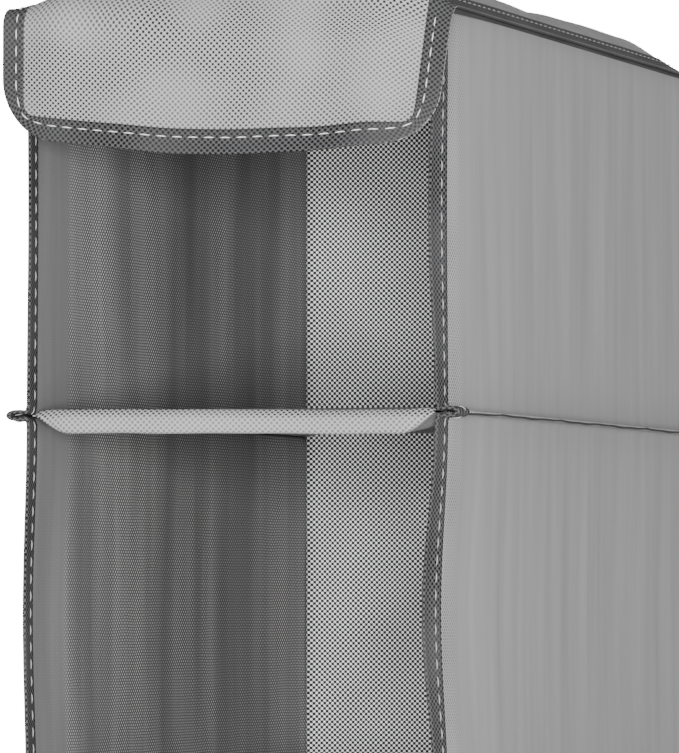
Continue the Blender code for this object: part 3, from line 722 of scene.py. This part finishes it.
back = np.stack([
    np.broadcast_to(across, bulge.shape),
    depth + CLOTH / 2 + np.maximum(bulge, 0),
    np.broadcast_to(heights[:, None], bulge.shape),
], axis=-1)
back[:, :FIN, 0] += CLOTH / 2
back[:, -FIN:, 0] -= CLOTH / 2
faces = turned_out(back, grid_faces(*back.shape[:2]), np.array([0, 0, back[..., 2].mean()]))
along = arc_length(back, axis=1)
uv = np.stack([along, np.broadcast_to(heights[:, None], along.shape)], axis=-1)
back_wall = put("back_wall", back, faces, [OUTER, BACK_PAINTED_LIGHT], uv, thick=CLOTH)
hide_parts("back_panel")
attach(back_wall, "carcass")
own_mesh(back_wall)

# %% [markdown]
# ## The shelves
# Each shelf is a flat bag of cloth round a stiff board. The bag's sides are pressed together and
# sewn into the pleats, so it narrows towards both ends like a pillow. The front hangs over the
# board's edge as a soft lip, and behind the lip the cloth lies close to the board. An inflated
# box would bulge all round, so the section is drawn as a line and pressed flat towards the ends
# by a formula.

# %% The bag's section
BAG_TOP = 2.0 * MM
LIP = 6.4 * MM  # the lip's lower edge under the seam line
BAG_END = 75.3 * MM  # where the bag's two faces meet
SLEEVE_CLOTH = 0.35 * MM
TILT = 2.4 * MM  # how much higher the shelf's middle and rear lie than its front


def bag_section():
    """The bag's section from the rear of its top round the front to the rear of its underside.

    Gives (y, upper share, lower share): z is a share of the top height or of the lip's drop. The
    underside rises to less than a quarter of the drop within 34 mm behind the lip.
    """
    rear = BACK_Y - 0.9 * MM
    top_y = np.linspace(rear, FRONT_Y + 3.8 * MM, 26)
    nose = np.array([
        (2.7, 0.97, 0), (2.1, 0.80, 0), (1.45, 0.50, 0), (0.85, 0.15, 0), (0.45, 0, 0.05),
        (0.15, 0, 0.2), (0.05, 0, 0.45), (0.15, 0, 0.7), (0.5, 0, 0.88), (1.2, 0, 0.97),
        (2.4, 0, 1.0), (4.0, 0, 0.985),
    ])
    behind_lip = FRONT_Y + np.array([6, 9, 13, 18, 25]) * MM
    low_y = np.concatenate([behind_lip, np.linspace(FRONT_Y + 34 * MM, rear, 18)])
    rise = smooth_step((low_y - FRONT_Y - 4 * MM) / (34 * MM))
    y = np.concatenate([top_y, FRONT_Y + nose[:, 0] * MM, low_y])
    upper = np.concatenate([np.ones(len(top_y)), nose[:, 1], np.zeros(len(low_y))])
    lower = np.concatenate([np.zeros(len(top_y)), nose[:, 2], 0.985 - 0.76 * rise])
    return y, upper, lower


print("points round a bag:", len(bag_section()[0]))


# %% The bag and its board
def bag_points(z, seed):
    """One shelf's bag, (across, round, 3). d is the way in from the end of its faces.

    Its top is f + (2.0 mm - f) sqrt(1 - (1 - d / 6 mm)^2) over the seam line and its lip
    f + (6.4 mm - f) sin(pi d / 2 r)^1.25 under it, f the flange's 0.28 mm. r is 13 mm at the front
    and 7 mm from 15 mm behind it. The lip sags 1.1 mm more on the right, and three waves of
    random size run along it.
    """
    ways = np.random.default_rng(seed)
    y, upper, lower = bag_section()
    share = np.sin(np.pi / 2 * np.sin(np.pi / 2 * np.linspace(-1, 1, 73)))[:, None]
    pull = np.where(share > 0, nip(1, y), nip(-1, y))
    turn_in = np.where(share > 0, TURN_IN[1], TURN_IN[-1])
    taped = 1 - smooth_step((y - FRONT_Y - 8 * MM) / (4 * MM))
    end = 75.4 * MM + pull - taped * (0.6 * MM + 0.35 * turn_in)
    x = share * end
    d = np.clip(BAG_END - 1.1 * MM + pull - np.abs(x), 0, None)
    round_top = np.sqrt(1 - (1 - np.clip(d / (6 * MM), 0, 1)) ** 2)
    reach = (13 - 6 * smooth_step((y - FRONT_Y - 3 * MM) / (12 * MM))) * MM
    round_low = np.sin(np.pi / 2 * np.clip(d / reach, 0, 1)) ** 1.25
    tilt = TILT * smooth_step((y - FRONT_Y) / (160 * MM)) * round_low
    flange = 0.28 * MM
    up = upper * (flange + (BAG_TOP - flange) * round_top)
    down = lower * (flange + (LIP - flange) * round_low)
    waves = sum(
        ways.uniform(0.3, 1) * np.cos(2 * np.pi * x / (length * MM) + ways.uniform(0, 6))
        for length in (97, 53, 31)
    )
    lip = np.exp(-(((y - FRONT_Y) / (9 * MM)) ** 2)) * round_low
    sag = 1.1 * MM * smooth_step((x + 60 * MM) / (110 * MM)) * lip
    zs = z + up - down + tilt - sag + lip * waves * np.where(lower > 0, 0.16, 0.07) * MM
    ys = np.maximum(y + lip * 0.22 * MM * waves, FRONT_Y - 0.1 * MM)
    draw_in = (1 - round_low) * np.exp(-(((y - FRONT_Y) / (6 * MM)) ** 2)) * 1.6 * MM
    return np.stack([x, ys + draw_in, zs], axis=-1)


def board_points(z):
    """The board inside the bag: a plate 1.4 mm thick, as a grid closed round its section."""
    front, rear = FRONT_Y + 2.6 * MM, BACK_Y - 4 * MM
    y = np.array([rear, front, front, rear])
    up = np.array([0.45, 0.45, -0.95, -0.95]) * MM
    tilt = TILT * smooth_step((y - FRONT_Y) / (160 * MM))
    x = np.array([-63, -62, 62, 63]) * MM
    return np.stack(np.broadcast_arrays(x[:, None], y, z + up + tilt), axis=-1)


print(f"board: {np.ptp(board_points(0)[..., 0]) / MM:.0f} mm wide")

# %% Making the shelves
for number, z in enumerate(SHELF_Z, start=1):
    points = bag_points(z, number)
    faces = turned_out(points, grid_faces(*points.shape[:2]), points.mean(axis=(0, 1)))
    round_about = arc_length(points, axis=1)
    uv = np.stack([points[..., 0], round_about], axis=-1)
    bag = put(f"shelf_bag_{number}", points, faces, [SLEEVE], uv, thick=SLEEVE_CLOTH)
    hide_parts(f"shelf_sleeve_{number}")
    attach(bag, f"shelf_{number}")
    corners = board_points(z)
    ends = np.array([[0, 1, 2, 3], [15, 14, 13, 12]])
    faces = np.concatenate([grid_faces(4, 4, wrap=True), ends])
    faces = turned_out(corners, faces, corners.mean(axis=(0, 1)))
    card = put(f"shelf_card_{number}", corners, faces, [CARD])
    card.data.polygons.foreach_set("use_smooth", np.zeros(len(card.data.polygons), bool))
    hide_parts(f"shelf_board_{number}")
    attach(card, f"shelf_{number}")

# %% [markdown]
# ## The cover and its flap
# One sheet lies puffed over the roof and turns down in front as a flap. It was cut as a rectangle
# with two rounded corners, taped all round and sewn on along the roof seam. The sheet, its tape
# and its thread all come from one function of the flat sheet, so they stay together on every
# curve.

# %% The cover's sizes and its fall
COVER_Z = -76.6 * MM
COVER_X = 79.05 * MM  # half the cover's width
COVER_REAR_Y = 159.9 * MM
FLAP_LENGTH = 60 * MM  # from the roof's front edge down the cloth
ROOF_LENGTH = COVER_REAR_Y - FRONT_Y
TOTAL = ROOF_LENGTH + FLAP_LENGTH
FRONT_CORNER, REAR_CORNER = 20 * MM, 5 * MM  # radii of the cut


def hang(down, level, radius, fall):
    """A line that runs level, turns down by the angle fall through an arc and goes on straight.

    Gives (forward, drop, angle turned) at the distance down along it.
    """
    turn = np.clip((down - level) / radius, 0, fall)
    leg = np.clip(down - level - radius * fall, 0, None)
    forward = np.minimum(down, level) + radius * np.sin(turn) + leg * np.cos(fall)
    return forward, radius * (1 - np.cos(turn)) + leg * np.sin(fall), turn


print(f"the cover is {2 * COVER_X:.3f} m wide and {TOTAL:.3f} m long, with its flap")


# %% [markdown]
# Over the roof the cloth stands up from its taped edge like a cushion, most on the right. In front
# its left edge juts out and hangs plumb, and its right edge slants down, so the flap is twisted.

# %% The puffed surface
def cover_points(a, s, out=0.0):
    """Where the flat sheet's point (a, s) lies: a across, s from the rear edge forward and down.

    The left edge juts out before it hangs plumb and the right one slants, with share
    (1/2 - a / 2A)^2.2 of the first. The flap's end sags by 4 mm (1 - (a / A)^2)^2 v^2, v the share
    of the way down it. The cloth stands off this line by rise * high * side * rear - droop and
    small waves. rise is 9.8 mm plus up to 4.2 mm to the right, but not round the eyelets; side
    goes from 0 at the edge to 1 in 26 mm or 34 mm, rear in 22 mm, and high falls to 0.32 down
    the flap. droop is 0.8 mm plus (1.4 + 0.7 a / A) mm exp(-(way in / 5 mm)^2) on the roof.
    """
    down = s - ROOF_LENGTH
    across = np.clip(a / COVER_X, -1, 1)
    plumb = np.clip(0.5 - a / (2 * COVER_X), 0, 1) ** 2.2
    first = hang(down, level=12.5 * MM, radius=6 * MM, fall=np.pi / 2)
    second = hang(down, level=0.5 * MM, radius=5 * MM, fall=np.radians(65))
    forward, drop, turn = (plumb * one + (1 - plumb) * two for one, two in zip(first, second))
    sag = 4.0 * MM * (1 - across**2) ** 2 * (np.clip(down, 0, None) / FLAP_LENGTH) ** 2
    drop = drop + sag + 1.0 * MM * plumb * smooth_step(down / (20 * MM))

    inward = COVER_X - np.abs(a)
    flap = smooth_step(down / (10 * MM))
    steep = (0.5 + 0.5 * across) * (1 - flap) * 0.2
    soft = smooth_step(inward / (26 * MM))
    round_off = 1 - np.clip(1 - inward / (34 * MM), 0, 1) ** 2
    side = soft + (round_off - soft) * steep
    rear = smooth_step(s / (22 * MM))
    fall = smooth_step((down + 10 * MM) / (FLAP_LENGTH + 10 * MM))
    high = (1 - fall) + 0.32 * fall
    from_eyelet = (np.abs(a) - HOOK_X) ** 2 + (s - COVER_REAR_Y) ** 2
    calm = 1 - np.exp(-(from_eyelet / (22 * MM) ** 2))
    rise = (9.8 + 4.2 * (1 - flap) * across * calm) * MM
    rim = np.exp(-((inward / (5 * MM)) ** 2))
    droop = (0.8 + (1.4 + 0.7 * across) * rim) * (1 - smooth_step(down / (15 * MM))) * MM
    puff = rise * high * side * rear - droop
    waves = (
        0.5 * np.cos(2 * np.pi * a / (47 * MM) + 1.1 + 9 * s)
        + 0.35 * np.cos(2 * np.pi * a / (29 * MM) - 14 * s)
        + 0.5 * np.cos(2 * np.pi * s / (83 * MM) + 0.7)
    )
    off = puff + calm * side * rear * waves * (0.35 + 0.25 * flap) * MM + out

    x = a + np.sign(a) * 0.9 * MM * rim * (1 - flap)
    y = FRONT_Y - forward - off * np.sin(turn)
    return np.stack(np.broadcast_arrays(x, y, COVER_Z - drop + off * np.cos(turn)), axis=-1)


middle_z = float(cover_points(np.array(0.0), np.array(ROOF_LENGTH / 2))[2])
print(f"the cover's middle lies {(middle_z - COVER_Z) / MM:.1f} mm over its edge")


# %% [markdown]
# The tape runs round the sheet's outline. At a round corner it is eased: its outer edge follows
# the corner, and its inner edge, which has less way to go, turns more sharply.

# %% The cover's outline
def cover_edge(steps=14):
    """The sheet's flat outline, round from the rear: points, ways in, and the tape's width there.

    A rounded corner of radius r is c + r (cos t, sin t), with the way in -(cos t, sin t). The
    width, as a share of the tape's w, is (r - (r - w) q) / w at the flap's corners, with
    q = (|cos t|^8 + |sin t|^8)^(-1/8), which puts the inner edge on a nearly square corner.
    """
    corners = [
        (1, 0, REAR_CORNER, -90, 0), (1, 1, FRONT_CORNER, 0, 90),
        (-1, 1, FRONT_CORNER, 90, 180), (-1, 0, REAR_CORNER, 180, 270),
    ]
    points, ways, widths = [], [], []
    for side, end, radius, start, stop in corners:
        centre = np.array([side * (COVER_X - radius), TOTAL - radius if end else radius])
        t = np.radians(np.linspace(start, stop, steps))
        way = np.stack([np.cos(t), np.sin(t)], axis=-1)
        square = (np.abs(way) ** 8).sum(axis=-1) ** (-1 / 8)
        eased = (radius - (radius - TAPE_WIDTH) * square) / TAPE_WIDTH
        points.append(centre + radius * way)
        ways.append(-way)
        widths.append(eased if end else np.ones(steps))
    points, ways, widths = (
        np.concatenate(part + [part[0][:1]]) for part in (points, ways, widths)
    )
    s = arc_length(points)
    at = np.linspace(0, s[-1], 520)
    return sampled(at, s, points), unit(sampled(at, s, ways)), np.interp(at, s, widths)


def inside_outline(a, s):
    """The grid drawn in so that the sheet's corners are round.

    Its reach across falls by r - sqrt(r^2 - q^2), q the way past where the corner begins.
    """
    reach = np.full_like(s, COVER_X)
    for radius, past in (
        (FRONT_CORNER, s - (TOTAL - FRONT_CORNER)), (REAR_CORNER, REAR_CORNER - s)
    ):
        q = np.clip(past, 0, radius * 0.999)
        reach -= radius - np.sqrt(radius**2 - q**2)
    return a * reach / COVER_X


print(f"the outline is {arc_length(cover_edge()[0])[-1]:.3f} m round")


# %% [markdown]
# The hooks come up through eyelets. The grid's points round each one are pushed out to the rim of
# the hole, which keeps even quads. A Boolean would cut the cloth into slivers there.

# %% Holes for the hooks
def with_eyelets(a, s, centres, hole, reach):
    """Opens a round hole at each centre of a flat grid, and gives the grid and its faces.

    A point at the distance r, less than R, moves out to h + r (1 - h / R). The face that lay
    over the centre is left out.
    """
    flat = np.stack([a, s], axis=-1)
    faces = grid_faces(*a.shape)
    corners = flat.reshape(-1, 2)[faces]
    over = np.zeros(len(faces), bool)
    for centre in centres:
        below = (corners.min(axis=1) <= centre).all(axis=1)
        over |= below & (corners.max(axis=1) > centre).all(axis=1)
        way = flat - centre
        r = np.linalg.norm(way, axis=-1, keepdims=True)
        push = np.where(r < reach, (hole + r * (1 - hole / reach)) / np.maximum(r, 1e-6), 1)
        flat = centre + way * push
    return flat[..., 0], flat[..., 1], faces[~over]


# %% Making the cover
across = np.linspace(-COVER_X, COVER_X, 66)
along = np.concatenate([
    np.linspace(0.2 * MM, ROOF_LENGTH - 6 * MM, 118),
    np.linspace(ROOF_LENGTH - 6 * MM, TOTAL - 0.3 * MM, 46)[1:],  # closer steps round the bend
])
s, a = np.meshgrid(along, across, indexing="ij")
eyelets = np.array([(-HOOK_X, COVER_REAR_Y), (HOOK_X, COVER_REAR_Y)])
a, s, faces = with_eyelets(inside_outline(a, s), s, eyelets, hole=3.4 * MM, reach=12 * MM)
top = cover_points(a, s, CLOTH / 2)
faces = turned_out(top, faces, np.array([0, 0, -0.3]))
middle_way = arc_length(top[:, len(across) // 2])
flat_s = np.interp(s, along, middle_way - middle_way[-1] + TOTAL)
uv = np.stack([a, flat_s], axis=-1)
cover = put("cover_and_flap", top, faces, [SHEET], uv, thick=CLOTH)
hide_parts("cover_sheet", "front_flap")
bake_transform(cover)

# %% [markdown]
# The tape lies over the sheet's edge with a half round outside it. The thread shows white on the
# flap, where light falls on it, and greyer along the roof.

# %% The cover's tape and thread
edge, way, width = cover_edge()
inset = np.linspace(0, TAPE_WIDTH - BOUND, 9)
flat_strip = edge[:, None] + (inset * width[:, None] + BOUND)[:, :, None] * way[:, None]
turn = np.linspace(0, np.pi, 7)[1:-1]
fold_flat = edge[:, None] + (BOUND * (1 - np.sin(turn)))[None, :, None] * way[:, None]
upper = cover_points(flat_strip[:, ::-1, 0], flat_strip[:, ::-1, 1], BOUND)
fold = cover_points(fold_flat[..., 0], fold_flat[..., 1], BOUND * np.cos(turn))
lower = cover_points(flat_strip[..., 0], flat_strip[..., 1], -BOUND)
points = np.concatenate([upper, fold, lower], axis=1)
length = np.broadcast_to(arc_length(edge)[:, None], points.shape[:2])
uv = np.stack([length, arc_length(points, axis=1)], axis=-1)
cover_tape = tape_piece(
    "cover_tape", ["cover_binding", "flap_binding"], points, uv, np.array([0, 0, -0.4])
)
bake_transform(cover_tape)

cloth_under = cover_points(flat_strip[:, 5, 0], flat_strip[:, 5, 1])
first, last = np.flatnonzero(edge[:, 1] > ROOF_LENGTH + 6 * MM)[[0, -1]]
spans = {
    "flap_stitches": ([slice(first, last)], THREAD),
    "cover_stitches": ([slice(None, first), slice(last, None)], SHADED_THREAD),
}
for name, (parts, finish) in spans.items():
    lines = [
        (points[part, column], unit(points[part, column] - cloth_under[part]))
        for part in parts for column in SEAM_COLUMNS
    ]
    thread = thread_piece(name, lines, finish)
    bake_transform(thread)

# %% [markdown]
# ## The roof and its seams
# Under the cover lies the roof: a cloth with a stiff board on it, which carries the hooks. The
# board is hidden, so it stays the plain plate that came with the frame. Tape closes the roof's
# front and rear edges, and a seam tape on each side takes in the top edge of the side wall.

# %% Making the roof
ROOF_X = WALL_X + 0.8 * MM
across = np.linspace(-ROOF_X, ROOF_X, 62)
along = np.linspace(FRONT_Y + 0.9 * MM, REAR_Y - 0.9 * MM, 126)
s, a = np.meshgrid(along, across, indexing="ij")
stems = np.array([(-HOOK_X, 0), (HOOK_X, 0)])
a, s, faces = with_eyelets(a, s, stems, hole=2.8 * MM, reach=8 * MM)
sunk = 0.45 * MM * smooth_step((np.abs(a) - 70 * MM) / (5 * MM))  # pressed under the seam tape
lining = np.stack([a, s, ROOF_Z + CLOTH / 2 - sunk], axis=-1)
faces = turned_out(lining, faces, np.array([0, 0, -0.4]))
roof = put("roof_lining", lining, faces, [OUTER, LINING_PAINTED_SHADE], lining[..., :2], thick=CLOTH)
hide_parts("roof_panel")
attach(roof, "carcass")

# %% Front and rear roof tapes
x = np.linspace(-71 * MM, 71 * MM, 60)
reach = np.linspace(0, 6.7 * MM, 5)
for word, edge_y, inward in (("front", FRONT_Y + 1.15 * MM, 1), ("rear", REAR_Y - 1.15 * MM, -1)):
    strip = np.stack(np.broadcast_arrays(x[:, None], edge_y + inward * reach, ROOF_Z), axis=-1)
    up = np.broadcast_to([0, 0, 1.0], (len(x), 3))
    outward = np.broadcast_to([0, -inward, 0.0], (len(x), 3))
    points, uv = fold_tape(strip, up, outward, THICK_BOUND)
    if word == "rear":
        points, uv = points[:, :12], uv[:, :12]  # its lower leg ends at the back wall
    middle = strip.mean(axis=(0, 1))
    piece = tape_piece(f"roof_tape_{word}", [f"roof_binding_{word}"], points, uv, middle)
    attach(piece, "carcass")

# %% Roof seam tapes
y = np.linspace(FRONT_Y, REAR_Y, 120)
turn = np.linspace(0, np.pi, 9)[1:-1]
fold_x, middle, half = 76.6 * MM, SEAM_Z + 0.25 * MM, 0.75 * MM
upper_x, lower_x = [71.5 * MM, 74 * MM, 76.5 * MM], [76.6 * MM, 76.4 * MM]
x = np.concatenate([upper_x, fold_x + half * np.sin(turn), lower_x])
fold_z = middle + half * np.cos(turn)
z = np.concatenate([np.full(3, middle + half), fold_z, np.full(2, middle - half)])
for side, word in WORDS.items():
    points = np.stack(np.broadcast_arrays(side * x, y[:, None], z), axis=-1)
    length = np.broadcast_to(y[:, None], points.shape[:2])
    uv = np.stack([length, arc_length(points, axis=1)], axis=-1)
    piece = tape_piece(
        f"roof_seam_tape_{word}", [f"roof_seam_binding_{word}"], points, uv,
        points.mean(axis=(0, 1)),
    )
    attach(piece, "carcass")

# %% [markdown]
# ## The hem
# The bottom edges of the three walls are closed with the same tape. When the organizer folds, the
# hem goes up with the lowest shelf.

# %% Making the hem tapes
hem_z = BOTTOM_Z + np.linspace(0, TAPE_WIDTH - BOUND, 4)
y = np.linspace(FRONT_Y + 8.3 * MM, BACK_Y - 1.5 * MM, 90)
x = np.linspace(-73.5 * MM, 73.5 * MM, 50)
hems = {
    word: (np.stack(np.broadcast_arrays(side * WALL_X, y[:, None], hem_z), axis=-1), [side, 0, 0])
    for side, word in WORDS.items()
}
hems["back"] = (np.stack(np.broadcast_arrays(x[:, None], BACK_Y, hem_z), axis=-1), [0, 1, 0])
for word, (strip, up) in hems.items():
    up = np.broadcast_to(np.array(up, float), (len(strip), 3))
    outward = np.broadcast_to([0, 0, -1.0], (len(strip), 3))
    points, uv = fold_tape(strip, up, outward)
    middle = strip.mean(axis=(0, 1))
    tape = tape_piece(f"hem_tape_{word}", [f"hem_binding_{word}"], points, uv, middle)
    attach(tape, "shelf_10")
    thread = thread_piece(
        f"hem_stitches_{word}", [(points[:, 1], up), (points[:, -2], -up)], SHADED_THREAD
    )
    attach(thread, "shelf_10")

# %% [markdown]
# ## The hooks
# Two hooks of bent steel wire go through eyelets in the cover, through the board and the roof,
# and each is held by a washer and a nut. They can turn, so the organizer hangs straight on any
# rod. The wire is a ring of points carried along its bent line; a curve with a bevel would give
# no rounded ends.

# %% Bending the wire
WIRE = 2.25 * MM  # its radius


def wire_line():
    """The wire's middle in the YZ plane, from over the rod down to the end of the stem.

    An arc of 22.25 mm round the rod from 200 to -50 degrees, a straight neck, an arc of 14 mm
    that turns it plumb, and the stem on the axis.
    """
    radius, bend, stem_end = 22.25 * MM, 14 * MM, -86 * MM
    start, neck = np.radians(200), np.radians(-50)
    angle = np.linspace(start, neck, 60)
    arc = radius * np.stack([np.cos(angle), np.sin(angle)], axis=-1)
    turn = -neck
    slant = (arc[-1, 0] - bend * (1 - math.cos(turn))) / math.sin(turn)
    corner_z = arc[-1, 1] - slant * math.cos(turn)
    angle = np.linspace(turn, 0, 16)
    foot = np.stack([
        bend * (1 - np.cos(angle)), corner_z - bend * (math.sin(turn) - np.sin(angle))
    ], axis=-1)
    stem = np.stack([np.zeros(8), np.linspace(foot[-1, 1], stem_end, 9)[1:]], axis=-1)
    line = np.concatenate([arc, foot, stem])
    return np.stack([np.zeros(len(line)), line[:, 0], line[:, 1]], axis=-1)


def tube(line, radius, tip, sides=20):
    """A round bar along a line, of radius r sqrt(1 - (1 - s / t)^2) over the last t of each end."""
    s = arc_length(line)
    extra = tip * (1 - np.cos(np.linspace(0, np.pi / 2, 7)))
    at = np.unique(np.round(np.concatenate([s, extra, s[-1] - extra]), 7))
    core = sampled(at, s, line)
    ahead = unit(np.gradient(core, axis=0))
    side = np.broadcast_to([1.0, 0, 0], ahead.shape)
    up = np.cross(side, ahead)
    near = np.clip(np.minimum(at, s[-1] - at) / tip, 0, 1)
    girth = radius * np.sqrt(np.maximum(1 - (1 - near) ** 2, 1e-4))
    turn = 2 * np.pi * np.arange(sides) / sides
    ring = side[:, None] * np.cos(turn)[:, None] + up[:, None] * np.sin(turn)[:, None]
    return core[:, None] + girth[:, None, None] * ring


print(f"wire for one hook: {arc_length(wire_line())[-1]:.3f} m")

# %% Making the hooks
for side, word in WORDS.items():
    points = tube(wire_line() + [side * HOOK_X, 0, 0], WIRE, tip=2.0 * MM)
    faces = grid_faces(*points.shape[:2], wrap=True)
    faces = turned_out(points, faces, points.mean(axis=(0, 1)))
    hook = put(f"steel_hook_{word}", points, faces, [STEEL])
    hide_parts(f"hook_{word}")
    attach(hook, f"hook_{word}")

# %% [markdown]
# The eyelets, washers, nuts and the roof board are simple turned or cut parts, and they stay as
# they came. A narrow bevel rounds their edges, because a sharp edge never catches the light.

# %% Small parts
for name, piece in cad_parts.items():
    if not piece.hide_render:
        piece.data.materials.clear()
        piece.data.materials.append(CARD if name == "roof_board" else STEEL)
        rounded = piece.modifiers.new("edge", "BEVEL")
        rounded.width = 0.2 * MM
        rounded.segments = 2
        rounded.limit_method = "ANGLE"
        print("kept", name)

# %% [markdown]
# ## Light and camera
# A white studio: a pale floor, a bright wall far behind, a soft light in front and a fill from
# the right. A flat white world would hide the cloth's folds, so the front light is rather small.

# %% Floor and wall
FLOOR_Z, WALL_Y = -1.9, 14.0


def plane(name, corners, finish):
    """A flat quad of the studio."""
    made = put(name, np.array(corners, float), np.array([[0, 1, 2, 3]]), [finish])


# Painted board: matt and almost even.
FLOOR = grained("pale_floor", "#E6E6E4", 0.9, 4.0, 0.01)
# A lit white sheet, seen as plain white behind the organizer.
GLOW, _, glow_shader = new_finish("bright_wall", 1.0)
glow_shader.inputs["Emission Color"].default_value = (1, 1, 1, 1)
glow_shader.inputs["Emission Strength"].default_value = 16.0
plane("floor", [(-4, -4, FLOOR_Z), (4, -4, FLOOR_Z), (4, 4, FLOOR_Z), (-4, 4, FLOOR_Z)], FLOOR)
plane("bright_wall", [
    (-7.5, WALL_Y, -1.6), (-1.5, WALL_Y, -1.6), (-1.5, WALL_Y, 3.2), (-7.5, WALL_Y, 3.2)
], GLOW)

# %% Lights
world = bpy.data.worlds.new("studio")
bpy.context.scene.world = world
world.use_nodes = True
background = world.node_tree.nodes["Background"]
background.inputs["Color"].default_value = (1, 1, 1, 1)
background.inputs["Strength"].default_value = 0.58


def softbox(name, place, target, size, power):
    """A square area light that faces its target."""
    data = bpy.data.lights.new(name, "AREA")
    data.size = size
    data.energy = power
    lamp = bpy.data.objects.new(name, data)
    way = np.array(target) - np.array(place)
    lamp.location = place
    yaw, pitch = math.atan2(way[1], way[0]), math.atan2(way[2], math.hypot(way[0], way[1]))
    lamp.rotation_euler = (math.pi / 2 + pitch, 0, yaw - math.pi / 2)
    bpy.context.scene.collection.objects.link(lamp)
    print(f"{name}: {power} W")


softbox("key", (0.64, -2.1, -0.27), (0, 0, -0.27), size=0.45, power=80)
softbox("side", (2.2, -1.3, -0.4), (0, -0.1, -0.35), size=1.0, power=22)

# %% Camera
camera_data = bpy.data.cameras.new("camera")
camera_data.lens = 308.4  # a long lens, which looks at the top two compartments only
camera = bpy.data.objects.new("camera", camera_data)
camera.location = (0.7130, -2.2459, -0.281)
camera.rotation_euler = (math.radians(91.985), 0, math.radians(17.9))
bpy.context.scene.collection.objects.link(camera)
bpy.context.scene.camera = camera
print("camera at", tuple(round(c, 3) for c in camera.location))
